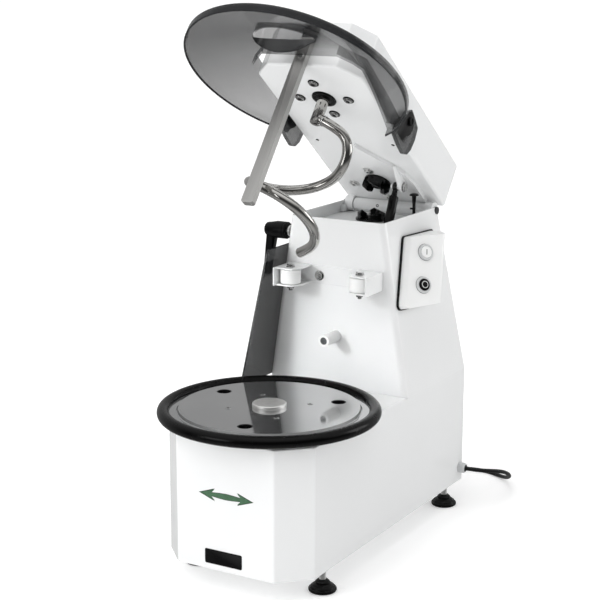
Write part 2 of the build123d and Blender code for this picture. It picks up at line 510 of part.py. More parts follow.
# ---------------------------------------------------------------- lid
lid_out = spun([(0, -33), (LID_R, -33), (LID_R, -20), (LID_R - 3, -16.8), (112, 9), (96, 12), (0, 12)], 0, LID_S)
lid_in = spun([(0, -43), (LID_R - LID_T, -43), (LID_R - LID_T, -21.6), (LID_R - LID_T - 2, -19.6), (111, 6), (95.6, 9), (0, 9)], 0, LID_S)
CUT_X, CUT_S = 108.5, -267.5
FL_T = 3.5
cut = prism([(-74, CUT_S), (74, CUT_S), (CUT_X, CUT_S + 34), (CUT_X, 0), (-CUT_X, 0), (-CUT_X, CUT_S + 34)], -60, 60)
lid = lid_out - lid_in - cut
fl_pts = [(CUT_S + 34, 29.5), (-209, 28), (-124, 25), (-63, 19), (-60, 17), (-61, 6), (-80, -4), (-100, -13), (-116, -17), (CUT_S + 34, -17)]
for x0 in (CUT_X, -CUT_X - FL_T):
    fl = ALONG * (Pos(0, 0, x0) * extrude(face(fl_pts), amount=FL_T))
    lid += fl - lid_in
nose = [(74, CUT_S - FL_T), (74, CUT_S), (CUT_X, CUT_S + 34), (CUT_X + FL_T, CUT_S + 34)]
for sx in (-1, 1):
    lid += prism([(sx * x, y) for x, y in nose], 6.5, 29.5) - lid_in
# filler opening: egg-shaped outline, counter-clockwise, with an upstanding collar cut on a slant
HOLE = [(-70, -308), (-66.5, -321), (-59, -331.5), (-47, -341), (-31, -347.8), (-13, -349.8), (5, -347.8), (21, -343), (35, -336.3), (47, -328),
        (55.5, -320.5), (54.5, -312.5), (44, -304.8), (27, -295.3), (3, -282), (-13, -276.8), (-32, -274), (-49, -276.3), (-61, -284), (-67.8, -295)]


def outline(grow):
    pts = []
    for i, (x, y) in enumerate(HOLE):
        (ax, ay), (bx, by) = HOLE[i - 1], HOLE[(i + 1) % len(HOLE)]
        t = math.hypot(bx - ax, by - ay)
        pts.append((x + grow * (by - ay) / t, y - grow * (bx - ax) / t))
    return make_face(Spline(*pts, periodic=True))


COLLAR_WALL = 2.5
COLLAR_MID, COLLAR_SLANT = 41.4, 0.585    # height of the rim over s = -309.5 and its rise per mm
lid -= Pos(0, 0, -60) * extrude(outline(SNUG), amount=120)
puth("lid_panel", lid)
collar = Pos(0, 0, 8.4) * (extrude(outline(0), amount=70) - extrude(outline(-COLLAR_WALL), amount=70))
rim = ALONG * (Pos(0, 0, -100) * extrude(face([(-369.5, COLLAR_MID - 60 * COLLAR_SLANT), (-249.5, COLLAR_MID + 60 * COLLAR_SLANT), (-249.5, 110), (-369.5, 110)]), amount=200))
collar -= rim
puth("filler_collar", collar)
br_pts = [(-59, 37.5), (-46.5, 49.2), (-23, 42.5), (-5, 36), (-1.5, 13), (-4.5, -10), (-13, -25), (-23.5, -29.5), (-48, -27), (-78, -20), (-78.5, -6), (-66, 17)]
br_sk = face(br_pts)
br_sk = fillet(br_sk.vertices(), 5)
BR_T = 8.0
brs, pivots = [], []
for sx in (-1, 1):
    x0 = CUT_X + FL_T if sx > 0 else -CUT_X - FL_T - BR_T
    b = ALONG * (Pos(0, 0, x0) * extrude(br_sk, amount=BR_T))
    b -= rod((sx * 100, *LID_PIVOT), (sx * 140, *LID_PIVOT), 4 + RUN)
    b -= lid_out
    brs.append(b)
    s = rod((sx * 100, *LID_PIVOT), (sx * 122, *LID_PIVOT), 4) + rod((sx * HEAD_HW, *LID_PIVOT), (sx * 111.7, *LID_PIVOT), 7)
    s += rod((sx * 120.4, *LID_PIVOT), (sx * 124.5, *LID_PIVOT), 8.5)
    pivots.append(s)
puth("lid_brackets", *brs)
puth("lid_screws", *pivots)

# ---------------------------------------------------------------- gas spring, drawn out
gv = Vector(*GAS_LOW) - Vector(*GAS_TOP)
GAS_LEN = gv.length
gd = gv.normalized()


def along(d):
    return tuple(Vector(*GAS_TOP) + gd * d)


gas = rod(along(8), along(140), 9) + rod((GAS_X - 5, GAS_TOP[1], GAS_TOP[2]), (GAS_X + 9.5, GAS_TOP[1], GAS_TOP[2]), 9)
gas -= rod((GAS_X - 12, GAS_TOP[1], GAS_TOP[2]), (GAS_X + 12, GAS_TOP[1], GAS_TOP[2]), 5 + RUN)
gas -= rod(along(26), along(150), 5 + RUN)
put("gas_spring_body", gas)
eye = rod((GAS_X - 4, GAS_LOW[1], GAS_LOW[2]), (GAS_X + 4, GAS_LOW[1], GAS_LOW[2]), 15)
prod = rod(along(112), along(GAS_LEN - 6), 5) + eye
prod -= rod((GAS_X - 12, GAS_LOW[1], GAS_LOW[2]), (GAS_X + 12, GAS_LOW[1], GAS_LOW[2]), 11.5)
put("gas_spring_rod", prod)

# ---------------------------------------------------------------- write the pieces
shift = Location((0, -ORIGIN_Y, 0))
lo, hi = [1e9] * 3, [-1e9] * 3
for name, solids in NODES.items():
    parts = []
    for s in solids:
        for one in s.solids():
            parts.append(one.moved(shift))
    shape = parts[0] if len(parts) == 1 else Compound(children=parts)
    bb = shape.bounding_box()
    if not name.startswith("cord") and name != "mains_plug":
        for i, v in enumerate((bb.min.X, bb.min.Y, bb.min.Z)):
            lo[i] = min(lo[i], v)
        for i, v in enumerate((bb.max.X, bb.max.Y, bb.max.Z)):
            hi[i] = max(hi[i], v)
    export_step(shape, f"parts/{name}.step")
print(len(NODES), "pieces")
print("box without the lead", [round(v, 2) for v in lo], [round(v, 2) for v in hi])
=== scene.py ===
import math

import bmesh
import bpy
from mathutils import Matrix, Vector


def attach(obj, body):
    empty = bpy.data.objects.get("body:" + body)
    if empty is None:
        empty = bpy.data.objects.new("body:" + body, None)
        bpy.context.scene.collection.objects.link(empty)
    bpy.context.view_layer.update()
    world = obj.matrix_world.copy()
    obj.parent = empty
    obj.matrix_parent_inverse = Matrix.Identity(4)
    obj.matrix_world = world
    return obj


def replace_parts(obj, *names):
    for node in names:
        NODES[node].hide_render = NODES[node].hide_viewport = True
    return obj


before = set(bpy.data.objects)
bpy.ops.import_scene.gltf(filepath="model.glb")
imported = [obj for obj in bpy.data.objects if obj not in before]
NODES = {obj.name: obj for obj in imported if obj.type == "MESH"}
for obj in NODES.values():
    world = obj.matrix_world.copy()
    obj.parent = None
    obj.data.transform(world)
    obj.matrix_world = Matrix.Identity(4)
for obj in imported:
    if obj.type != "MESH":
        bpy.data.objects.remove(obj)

scene = bpy.context.scene
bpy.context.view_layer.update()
OY = 314.855


def W(x, y, z):
    """Machine millimetres (y from the base's front face) to the frame, in metres."""
    return Vector((x, y - OY, z)) / 1000


TILT = math.radians(37.719)
SA, CA = math.sin(TILT), math.cos(TILT)


def H(x, s, n):
    """Head millimetres (x across, s towards the hinge, n up from its underside) to the frame."""
    return W(x, 450 + s * CA + n * SA, 730.42 - s * SA + n * CA)


HEAD_ROT = Matrix(((1, 0, 0), (0, CA, SA), (0, -SA, CA))).to_4x4()      # columns: x, s, n
K = (146.5 - 97.3) / 322
VS = math.hypot(1, K)


def side_r(u, v, w):
    o = Vector((146.5, 0, 275))
    p = o + u * Vector((0, 1, 0)) + v * Vector((-K, 0, 1)) / VS + w * Vector((1, 0, K)) / VS
    return W(*p)


def side_l(u, v, w):
    o = Vector((-146.5, 0, 275))
    p = o + u * Vector((0, -1, 0)) + v * Vector((K, 0, 1)) / VS + w * Vector((-1, 0, K)) / VS
    return W(*p)


def up(z, off=0.0):
    return (z - 275 - off * K / VS) * VS


# ------------------------------------------------------------------ camera
cam_data = bpy.data.cameras.new("camera")
cam = bpy.data.objects.new("camera", cam_data)
scene.collection.objects.link(cam)
az, pitch, roll = math.radians(30.182), math.radians(12.682), math.radians(0.129)
fwd = Vector((-math.sin(az) * math.cos(pitch), math.cos(az) * math.cos(pitch), -math.sin(pitch)))
right0 = Vector((math.cos(az), math.sin(az), 0))
up0 = right0.cross(fwd)
right = right0 * math.cos(roll) + up0 * math.sin(roll)
upv = up0 * math.cos(roll) - right0 * math.sin(roll)
back = -fwd
eye = W(1339.18, -2052.29, 1070.38)
cam.matrix_world = Matrix((
    (right.x, upv.x, back.x, eye.x),
    (right.y, upv.y, back.y, eye.y),
    (right.z, upv.z, back.z, eye.z),
    (0, 0, 0, 1)))
cam_data.sensor_width = 36
cam_data.lens = 92.344
cam_data.clip_start, cam_data.clip_end = 0.1, 400
scene.camera = cam


# ------------------------------------------------------------------ material helpers
def new_mat(name):
    m = bpy.data.materials.new(name)
    m.use_nodes = True
    nt = m.node_tree
    bsdf = next(n for n in nt.nodes if n.type == "BSDF_PRINCIPLED")
    return m, nt, bsdf


def coords(nt, rot=(0, 0, 0), scale=(1, 1, 1), loc=(0, 0, 0)):
    tc = nt.nodes.new("ShaderNodeTexCoord")
    a = nt.nodes.new("ShaderNodeMapping")
    a.inputs["Location"].default_value = loc
    a.inputs["Rotation"].default_value = rot
    b = nt.nodes.new("ShaderNodeMapping")
    b.inputs["Scale"].default_value = scale
    nt.links.new(tc.outputs["Object"], a.inputs["Vector"])
    nt.links.new(a.outputs["Vector"], b.inputs["Vector"])
    return b.outputs["Vector"]


def noise(nt, vec, scale, detail=3.0, rough=0.55):
    n = nt.nodes.new("ShaderNodeTexNoise")
    n.inputs["Scale"].default_value = scale
    n.inputs["Detail"].default_value = detail
    n.inputs["Roughness"].default_value = rough
    nt.links.new(vec, n.inputs["Vector"])
    return n.outputs["Fac"]


def rng(nt, value, lo, hi, f0=0.3, f1=0.7):
    r = nt.nodes.new("ShaderNodeMapRange")
    r.inputs["From Min"].default_value = f0
    r.inputs["From Max"].default_value = f1
    r.inputs["To Min"].default_value = lo
    r.inputs["To Max"].default_value = hi
    nt.links.new(value, r.inputs["Value"])
    return r.outputs["Result"]


def mix_colors(nt, fac, a, b):
    m = nt.nodes.new("ShaderNodeMix")
    m.data_type = "RGBA"
    m.inputs["A"].default_value = (*a, 1)
    m.inputs["B"].default_value = (*b, 1)
    nt.links.new(fac, m.inputs["Factor"])
    return m.outputs["Result"]


def add_bump(nt, bsdf, height, strength, dist):
    b = nt.nodes.new("ShaderNodeBump")
    b.inputs["Strength"].default_value = strength
    b.inputs["Distance"].default_value = dist
    nt.links.new(height, b.inputs["Height"])
    nt.links.new(b.outputs["Normal"], bsdf.inputs["Normal"])


def surface(name, color, rough=0.3, metal=0.0, tone=0.04, rough_var=0.05, big=14.0, fine=900.0, bump=0.05, dist=0.0002,
            rot=(0, 0, 0), stretch=(1, 1, 1), spec=0.5, coat=0.0, coat_rough=0.08, ior=1.5):
    """Colour that drifts a little, roughness that drifts, and a fine relief."""
    m, nt, b = new_mat(name)
    v = coords(nt, rot, stretch)
    c = Vector(color)
    f = rng(nt, noise(nt, v, big, 4.0), 0, 1)
    nt.links.new(mix_colors(nt, f, c * (1 - tone), [min(1, x * (1 + tone)) for x in c]), b.inputs["Base Color"])
    nt.links.new(rng(nt, noise(nt, v, big * 2.3, 5.0), max(0.01, rough - rough_var), rough + rough_var), b.inputs["Roughness"])
    b.inputs["Metallic"].default_value = metal
    b.inputs["Specular IOR Level"].default_value = spec
    b.inputs["IOR"].default_value = ior
    if coat:
        b.inputs["Coat Weight"].default_value = coat
        b.inputs["Coat Roughness"].default_value = coat_rough
    if bump:
        add_bump(nt, b, noise(nt, v, fine, 2.0), bump, dist)
    return m


def vmath(nt, op, a, b=None):
    n = nt.nodes.new("ShaderNodeVectorMath")
    n.operation = op
    nt.links.new(a, n.inputs[0])
    if b is not None:
        n.inputs[1].default_value = b
    return n.outputs["Value"] if op in ("DOT_PRODUCT", "LENGTH") else n.outputs["Vector"]


def vmax(nt, a, b):
    n = nt.nodes.new("ShaderNodeMath")
    n.operation = "MAXIMUM"
    nt.links.new(a, n.inputs[0])
    nt.links.new(b, n.inputs[1])
    return n.outputs["Value"]


def plus(nt, a, b):
    n = nt.nodes.new("ShaderNodeMath")
    n.operation = "ADD"
    n.use_clamp = True
    nt.links.new(a, n.inputs[0])
    nt.links.new(b, n.inputs[1])
    return n.outputs["Value"]


def head_axes(nt):
    """Along the head and square to its underside, in metres, from the piece's own coordinates."""
    tc = nt.nodes.new("ShaderNodeTexCoord")
    p = vmath(nt, "SUBTRACT", tc.outputs["Object"], W(0, 450, 730.42))
    return p, vmath(nt, "DOT_PRODUCT", p, (0, CA, -SA)), vmath(nt, "DOT_PRODUCT", p, (0, SA, CA))


def facing(nt, axis):
    """How far a surface looks along an axis of the piece, 0 to 1."""
    tc = nt.nodes.new("ShaderNodeTexCoord")
    d = vmath(nt, "DOT_PRODUCT", tc.outputs["Normal"], axis)
    n = nt.nodes.new("ShaderNodeMath")
    n.operation = "ABSOLUTE"
    nt.links.new(d, n.inputs[0])
    return n.outputs["Value"]


def smoked(name, alpha, color=(0.012, 0.0125, 0.0135), rough=0.05, extra=None, ripple=0.03, spec=0.5):
    """Smoked clear sheet: a dark tint that lets light straight through, with a gloss of its own."""
    m, nt, b = new_mat(name)
    v = coords(nt)
    nt.links.new(mix_colors(nt, rng(nt, noise(nt, v, 9.0, 3.0), 0, 1), color, [x * 1.5 for x in color]), b.inputs["Base Color"])
    nt.links.new(rng(nt, noise(nt, v, 22.0, 4.0), rough * 0.7, rough * 1.6), b.inputs["Roughness"])
    b.inputs["IOR"].default_value = 1.52
    b.inputs["Specular IOR Level"].default_value = spec
    a = rng(nt, noise(nt, v, 5.0, 2.0), alpha - 0.015, alpha + 0.015)
    if extra is not None:
        a = extra(nt, a)
    nt.links.new(a, b.inputs["Alpha"])
    add_bump(nt, b, noise(nt, v, 35.0, 1.0), ripple, 0.0006)
    return m


def lid_tint_and_painted_light(nt, a):
    """Thinner towards the rear as a painted light gradient, clearer in front of the head's end wall as painted light,
    darker where the sheet is turned down at its rim, darkest along its cut edges.
    """
    p, s_out, n_out = head_axes(nt)
    flat = vmath(nt, "MULTIPLY", vmath(nt, "SUBTRACT", p, Vector((0, -0.254 * CA, 0.254 * SA))), (1, 1, 1))
    sq = nt.nodes.new("ShaderNodeCombineXYZ")
    sep = nt.nodes.new("ShaderNodeSeparateXYZ")
    nt.links.new(flat, sep.inputs["Vector"])
    nt.links.new(sep.outputs["X"], sq.inputs["X"])
    nt.links.new(vmath(nt, "DOT_PRODUCT", flat, (0, CA, -SA)), sq.inputs["Y"])
    r = vmath(nt, "LENGTH", sq.outputs["Vector"])
    cut = rng(nt, n_out, 0.985, 0.0, -0.0308, -0.0300)
    wall = rng(nt, r, 0.0, 1.0, 0.1963, 0.1969)
    rim = nt.nodes.new("ShaderNodeMath")
    rim.operation = "MULTIPLY"
    nt.links.new(wall, rim.inputs[0])
    nt.links.new(rng(nt, s_out, 0.96, 0.42, -0.375, -0.325), rim.inputs[1])
    rim = rim.outputs["Value"]
    # painted light: the sheet thins towards the rear, standing in for reflections that lighten it there
    painted_light_fade = rng(nt, s_out, 0.0, -0.24, -0.34, -0.13)
    # painted light: clearer in front of the head's end wall, so the shaded wall behind the sheet shows lighter
    clear = nt.nodes.new("ShaderNodeMath")
    clear.operation = "MULTIPLY"
    nt.links.new(rng(nt, s_out, 0.0, -0.26, -0.330, -0.285), clear.inputs[0])
    across = nt.nodes.new("ShaderNodeMath")
    across.operation = "MULTIPLY"
    nt.links.new(rng(nt, sep.outputs["X"], 0.0, 1.0, -0.065, -0.030), across.inputs[0])
    nt.links.new(rng(nt, sep.outputs["X"], 1.0, 0.0, 0.080, 0.125), across.inputs[1])
    nt.links.new(across.outputs["Value"], clear.inputs[1])
    return vmax(nt, vmax(nt, plus(nt, plus(nt, a, painted_light_fade), clear.outputs["Value"]), rim), cut)


def edge_tint(axis, edge):
    def f(nt, a):
        return vmax(nt, a, rng(nt, facing(nt, axis), edge, 0.0, 0.55, 0.75))
    return f


def collar_tint(nt, a):
    p, s_out, n_out = head_axes(nt)
    line = vmath(nt, "DOT_PRODUCT", p, Vector((0, SA, CA)) - 0.63 * Vector((0, CA, -SA)))
    dark = rng(nt, line, 0.90, 0.0, 0.0135 + 0.63 * 0.3095, 0.0139 + 0.63 * 0.3095)
    back = rng(nt, s_out, 0.0, 1.0, -0.3190, -0.3170)
    n = nt.nodes.new("ShaderNodeMath")
    n.operation = "MULTIPLY"
    nt.links.new(dark, n.inputs[0])
    nt.links.new(back, n.inputs[1])
    low = nt.nodes.new("ShaderNodeMath")
    low.operation = "MULTIPLY"
    nt.links.new(rng(nt, n_out, 1.0, 0.0, 0.0096, 0.0104), low.inputs[0])
    nt.links.new(back, low.inputs[1])
    return vmax(nt, vmax(nt, a, n.outputs["Value"]), low.outputs["Value"])


# ------------------------------------------------------------------ materials
M = {}
M["white_paint"] = surface("white_paint", (0.86, 0.868, 0.87), rough=0.2, tone=0.008, rough_var=0.03, big=6.0, fine=700.0, bump=0.035, dist=0.00025, coat=0.5, coat_rough=0.06)
M["white_plastic"] = surface("white_plastic", (0.88, 0.885, 0.88), rough=0.33, tone=0.01, rough_var=0.04, big=20.0, fine=1600.0, bump=0.08, dist=0.00012)
M["pale_grey_plastic"] = surface("pale_grey_plastic", (0.60, 0.61, 0.615), rough=0.4, tone=0.03, fine=1500.0, bump=0.1, dist=0.0001)
M["grey_plastic"] = surface("grey_plastic", (0.10, 0.105, 0.108), rough=0.45, tone=0.05, fine=1500.0, bump=0.12, dist=0.0001)
M["black_plastic"] = surface("black_plastic", (0.0025, 0.0025, 0.0028), rough=0.34, tone=0.12, rough_var=0.07, big=40.0, fine=1400.0, bump=0.12, dist=0.00012, spec=0.16)
M["black_rubber"] = surface("black_rubber", (0.0012, 0.0012, 0.0013), rough=0.24, tone=0.2, rough_var=0.06, big=25.0, fine=1100.0, bump=0.10, dist=0.00012, spec=0.17)
M["cord_sheath"] = surface("cord_sheath", (0.005, 0.005, 0.0053), rough=0.42, tone=0.2, rough_var=0.06, big=60.0, fine=1800.0, bump=0.12, dist=0.00008, spec=0.3)
M["chrome"] = surface("polished_rod", (0.56, 0.55, 0.53), rough=0.11, metal=1.0, tone=0.03, rough_var=0.025, big=12.0, fine=2500.0, bump=0.02, dist=0.00004)
M["brushed"] = surface("brushed_bar", (0.68, 0.675, 0.66), rough=0.56, metal=1.0, tone=0.05, rough_var=0.06, big=1.0, fine=1.0, bump=0.10, dist=0.00006,
                       rot=(TILT, 0, 0), stretch=(1300, 1300, 14))
M["turned"] = surface("turned_boss", (0.90, 0.895, 0.88), rough=0.46, metal=1.0, tone=0.04, rough_var=0.05, big=90.0, fine=1800.0, bump=0.05, dist=0.00006)
M["zinc"] = surface("zinc_steel", (0.50, 0.50, 0.495), rough=0.2, metal=1.0, tone=0.08, rough_var=0.07, big=160.0, fine=2200.0, bump=0.08, dist=0.00006)
# the same zinc as above, made lighter as painted light for parts that sit in shade or face a dark surround
M["zinc_painted_light"] = surface("zinc_painted_light", (0.86, 0.86, 0.85), rough=0.34, metal=1.0, tone=0.06, rough_var=0.07, big=160.0, fine=2200.0, bump=0.08, dist=0.00006)
M["dark_steel"] = surface("dark_steel", (0.055, 0.056, 0.06), rough=0.38, metal=0.6, tone=0.15, rough_var=0.08, big=60.0, fine=900.0, bump=0.15, dist=0.00015)
M["black_cast"] = surface("black_cast", (0.0022, 0.0023, 0.0025), rough=0.22, tone=0.2, rough_var=0.07, big=70.0, fine=900.0, bump=0.2, dist=0.0002, spec=0.3)
M["motor_paint"] = surface("motor_paint", (0.22, 0.25, 0.27), rough=0.5, tone=0.06, fine=500.0, bump=0.25, dist=0.0003)
M["black_enamel"] = surface("black_enamel", (0.004, 0.0041, 0.0044), rough=0.14, tone=0.15, rough_var=0.04, big=30.0, fine=900.0, bump=0.03, dist=0.0001, spec=0.35)
M["gloss_black"] = surface("gloss_black", (0.0010, 0.0010, 0.0011), rough=0.09, tone=0.15, rough_var=0.02, big=30.0, fine=900.0, bump=0.02, dist=0.00006, spec=0.26)
M["smoked_lid"] = smoked("smoked_lid", 0.635, extra=lid_tint_and_painted_light, spec=0.22)
M["smoked_thick"] = smoked("smoked_thick", 0.64, extra=edge_tint((1, 0, 0), 0.8))
M["smoked_dark"] = smoked("smoked_dark", 0.82, rough=0.09, extra=edge_tint((-1 / VS, 0, K / VS), 0.97))
M["collar"] = smoked("smoked_collar", 0.42, rough=0.06, extra=collar_tint)


def turned_plate(name):
    """Mirror-polished disc with fine turning marks round the machine's axis."""
    m, nt, b = new_mat(name)
    tc = nt.nodes.new("ShaderNodeTexCoord")
    sub = nt.nodes.new("ShaderNodeVectorMath")
    sub.operation = "SUBTRACT"
    sub.inputs[1].default_value = W(0, 145.1, 0)
    nt.links.new(tc.outputs["Object"], sub.inputs[0])
    flat = nt.nodes.new("ShaderNodeVectorMath")
    flat.operation = "MULTIPLY"
    flat.inputs[1].default_value = (1, 1, 0)
    nt.links.new(sub.outputs["Vector"], flat.inputs[0])
    length = nt.nodes.new("ShaderNodeVectorMath")
    length.operation = "LENGTH"
    nt.links.new(flat.outputs["Vector"], length.inputs[0])
    comb = nt.nodes.new("ShaderNodeCombineXYZ")
    nt.links.new(length.outputs["Value"], comb.inputs["X"])
    rings = noise(nt, comb.outputs["Vector"], 1400.0, 3.0)
    wide = noise(nt, comb.outputs["Vector"], 160.0, 4.0)
    v = coords(nt)
    blot = noise(nt, v, 7.0, 4.0)
    nt.links.new(mix_colors(nt, rng(nt, blot, 0, 1), (0.48, 0.485, 0.49), (0.53, 0.535, 0.535)), b.inputs["Base Color"])
    edge = rng(nt, facing(nt, (0, 0, 1)), 0.55, 0.0, 0.75, 0.95)
    nt.links.new(vmax(nt, rng(nt, wide, 0.05, 0.11), edge), b.inputs["Roughness"])
    b.inputs["Metallic"].default_value = 0.93
    add_bump(nt, b, rings, 0.012, 0.00003)
    return m


M["turntable"] = turned_plate("turned_plate")


def threaded(name, pitch=0.0015):
    """Zinc plated thread: rings along the stud."""
    m, nt, b = new_mat(name)
    v = coords(nt)
    w = nt.nodes.new("ShaderNodeTexWave")
    w.wave_type = "BANDS"
    w.bands_direction = "Z"
    w.inputs["Scale"].default_value = 1 / pitch / 3.1416 / 2 * 1.0
    w.inputs["Distortion"].default_value = 0.0
    nt.links.new(v, w.inputs["Vector"])
    # painted shade in the thread's roots and painted highlight on its crests: the colour bands follow the relief
    nt.links.new(mix_colors(nt, w.outputs["Fac"], (0.36, 0.36, 0.35), (0.66, 0.66, 0.65)), b.inputs["Base Color"])
    nt.links.new(rng(nt, noise(nt, v, 400.0), 0.2, 0.4), b.inputs["Roughness"])
    b.inputs["Metallic"].default_value = 1.0
    add_bump(nt, b, w.outputs["Fac"], 0.8, 0.0006)
    return m


M["thread"] = threaded("thread_zinc")
M["green_print"] = surface("green_print", (0.012, 0.048, 0.021), rough=0.5, tone=0.12, fine=1500.0, bump=0.05, dist=0.00005, big=120.0)
M["grey_print"] = surface("grey_print", (0.16, 0.165, 0.16), rough=0.5, tone=0.08, fine=1500.0, bump=0.05, dist=0.00005, big=120.0)
M["green_light"] = surface("green_field", (0.058, 0.142, 0.074), rough=0.5, tone=0.18, fine=1500.0, bump=0.05, dist=0.00005, big=160.0)
M["pale_print"] = surface("pale_print", (0.62, 0.63, 0.62), rough=0.5, tone=0.06, fine=1500.0, bump=0.05, dist=0.00005, big=120.0)
M["seal"] = surface("seal_rubber", (0.002, 0.002, 0.0022), spec=0.22, rough=0.3, tone=0.2, fine=900.0, bump=0.1, dist=0.0001, big=60.0)


def paint(obj, mat):
    obj.data.materials.clear()
    obj.data.materials.append(mat)


LOOK = {
    "white_paint": "base_walls deck_plate floor_plate column_shell bearing_plate roller_bracket head_casing head_top_cover hinge_plate hinge_tube",
    "white_plastic": "control_box start_button roller_left roller_right stop_peg",
    "pale_grey_plastic": "cable_gland button_bezels",
    "black_plastic": "stop_button clamp_lever mains_plug bar_block lid_screws",
    "black_rubber": "foot_pads turntable_ring control_gasket cord_lead cord_coil",
    "smoked_lid": "lid_panel",
    "smoked_thick": "lid_brackets",
    "smoked_dark": "side_guard",
    "collar": "filler_collar",
    "turntable": "turntable_disc",
    "chrome": "spiral_hook gas_spring_rod",
    "zinc": "foot_studs roller_bolts panel_screws turntable_screws head_screws motor_plate turntable_shaft drive_shaft lever_stud",
    "brushed": "breaker_bar",
    "turned": "turntable_boss",
    "dark_steel": "drive_sprocket bowl_sprocket spindle_sprocket drive_chain head_chain hinge_pin",
    "black_cast": "lower_coupling upper_coupling switch_plunger",
    "motor_paint": "gear_motor bowl_bearing spindle_bearing",
    "black_enamel": "gas_spring_body blank_plate",
}
for key, names in LOOK.items():
    for n in names.split():
        paint(NODES[n], M[key])


# ------------------------------------------------------------------ mesh helpers
def mesh_obj(name, bm, mat, body, matrix=None, smooth=True, angle=35):
    me = bpy.data.meshes.new(name)
    bmesh.ops.recalc_face_normals(bm, faces=bm.faces[:])
    if matrix is not None:
        bmesh.ops.transform(bm, matrix=matrix, verts=bm.verts[:])
    for f in bm.faces:
        f.smooth = smooth
    bm.to_mesh(me)
    bm.free()
    o = bpy.data.objects.new(name, me)
    scene.collection.objects.link(o)
    me.materials.append(mat)
    if smooth:
        me.set_sharp_from_angle(angle=math.radians(angle))
    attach(o, body)
    return o


def ring_verts(bm, pts):
    return [bm.verts.new(p) for p in pts]


def bridge(bm, a, b):
    n = len(a)
    for i in range(n):
        bm.faces.new((a[i], a[(i + 1) % n], b[(i + 1) % n], b[i]))


def circle(r, z, n=32):
    return [(r * math.cos(2 * math.pi * i / n), r * math.sin(2 * math.pi * i / n), z) for i in range(n)]


def hexagon(r, z, n=24):
    """n points on a hexagon of corner radius r."""
    out = []
    for i in range(n):
        a = 2 * math.pi * i / n
        k = (a + math.pi / 6) % (math.pi / 3) - math.pi / 6
        d = r * math.cos(math.pi / 6) / math.cos(k)
        out.append((d * math.cos(a), d * math.sin(a), z))
    return out


def stack(bm, loops, cap0=True, cap1=True):
    rings = [ring_verts(bm, l) for l in loops]
    for a, b in zip(rings[:-1], rings[1:]):
        bridge(bm, a, b)
    if cap0:
        bm.faces.new(rings[0][::-1])
    if cap1:
        bm.faces.new(rings[-1])
    return rings


def frame_at(origin, z_axis, x_hint=(1, 0, 0)):
    z = Vector(z_axis).normalized()
    x = Vector(x_hint)
    x = (x - z * x.dot(z))
    if x.length < 1e-6:
        x = Vector((0, 1, 0)) - z * z.y
    x.normalize()
    y = z.cross(x)
    m = Matrix.Identity(4)
    for i, v in enumerate((x, y, z)):
        for j in range(3):
            m[j][i] = v[j]
    return Matrix.Translation(origin) @ m


def socket_screw(bm, r, h, place, washer=0.0, wash_t=0.001):
    """Round head with a six-sided socket, on a washer. Metres."""
    part = bmesh.new()
    z = 0.0
    if washer:
        stack(part, [circle(washer, 0, 24), circle(washer, wash_t * 0.75, 24), circle(washer * 0.96, wash_t, 24)])
        z = wash_t
    stack(part, [circle(r, z, 24), circle(r, z + h * 0.45, 24), circle(r * 0.93, z + h * 0.75, 24), circle(r * 0.74, z + h, 24),
                 hexagon(r * 0.5, z + h, 24), hexagon(r * 0.48, z + h * 0.4, 24)])
    add(bm, part, place)


def hex_bolt(bm, r, h, place, washer=0.0, wash_t=0.0012, dome=0.0):
    part = bmesh.new()
    z = 0.0
    if washer:
        stack(part, [circle(washer, 0, 24), circle(washer, wash_t * 0.75, 24), circle(washer * 0.96, wash_t, 24)])
        z = wash_t
    loops = [hexagon(r, z, 24), hexagon(r, z + h * 0.8, 24), hexagon(r * 0.9, z + h, 24)]
    if dome:
        loops += [circle(r * 0.62, z + h, 24), circle(r * 0.55, z + h + dome * 0.6, 24), circle(r * 0.35, z + h + dome, 24)]
    stack(part, loops)
    add(bm, part, place)


def add(bm, part, matrix):
    bmesh.ops.recalc_face_normals(part, faces=part.faces[:])
    bmesh.ops.transform(part, matrix=matrix, verts=part.verts[:])
    me = bpy.data.meshes.new("tmp")
    part.to_mesh(me)
    part.free()
    bm.from_mesh(me)
    bpy.data.meshes.remove(me)


# ------------------------------------------------------------------ mains lead
ROUTE = [(160.5, 631, 73), (182, 631, 73), (203, 638.5, 73), (218, 655, 70), (223, 677, 62.5), (221, 704, 50.5), (212.5, 734, 36),
         (199, 764, 21.5), (180, 791, 9), (155, 811, 4), (127, 822, 4), (96, 821, 4), (65, 810, 4), (34, 798, 4), (2, 791, 4), (-30, 789.2, 4)]
cord_pts = [W(*p) for p in ROUTE]
COIL = (-70.0, 740.0)


def coil_at(deg):
    """Radius and height of the wound lead, by the angle it has turned through."""
    keys = [(90, 49.0, 4.0), (330, 49.0, 4.0), (425, 40.3, 4.0), (720, 40.3, 4.0), (800, 40.6, 12.6), (1080, 40.6, 12.6), (1175, 48.8, 12.6), (1300, 48.8, 12.6), (1360, 49.0, 12.6)]
    for (a0, r0, z0), (a1, r1, z1) in zip(keys[:-1], keys[1:]):
        if deg <= a1:
            t = (deg - a0) / (a1 - a0)
            t = t * t * (3 - 2 * t)
            return r0 + (r1 - r0) * t, z0 + (z1 - z0) * t
    return keys[-1][1:]


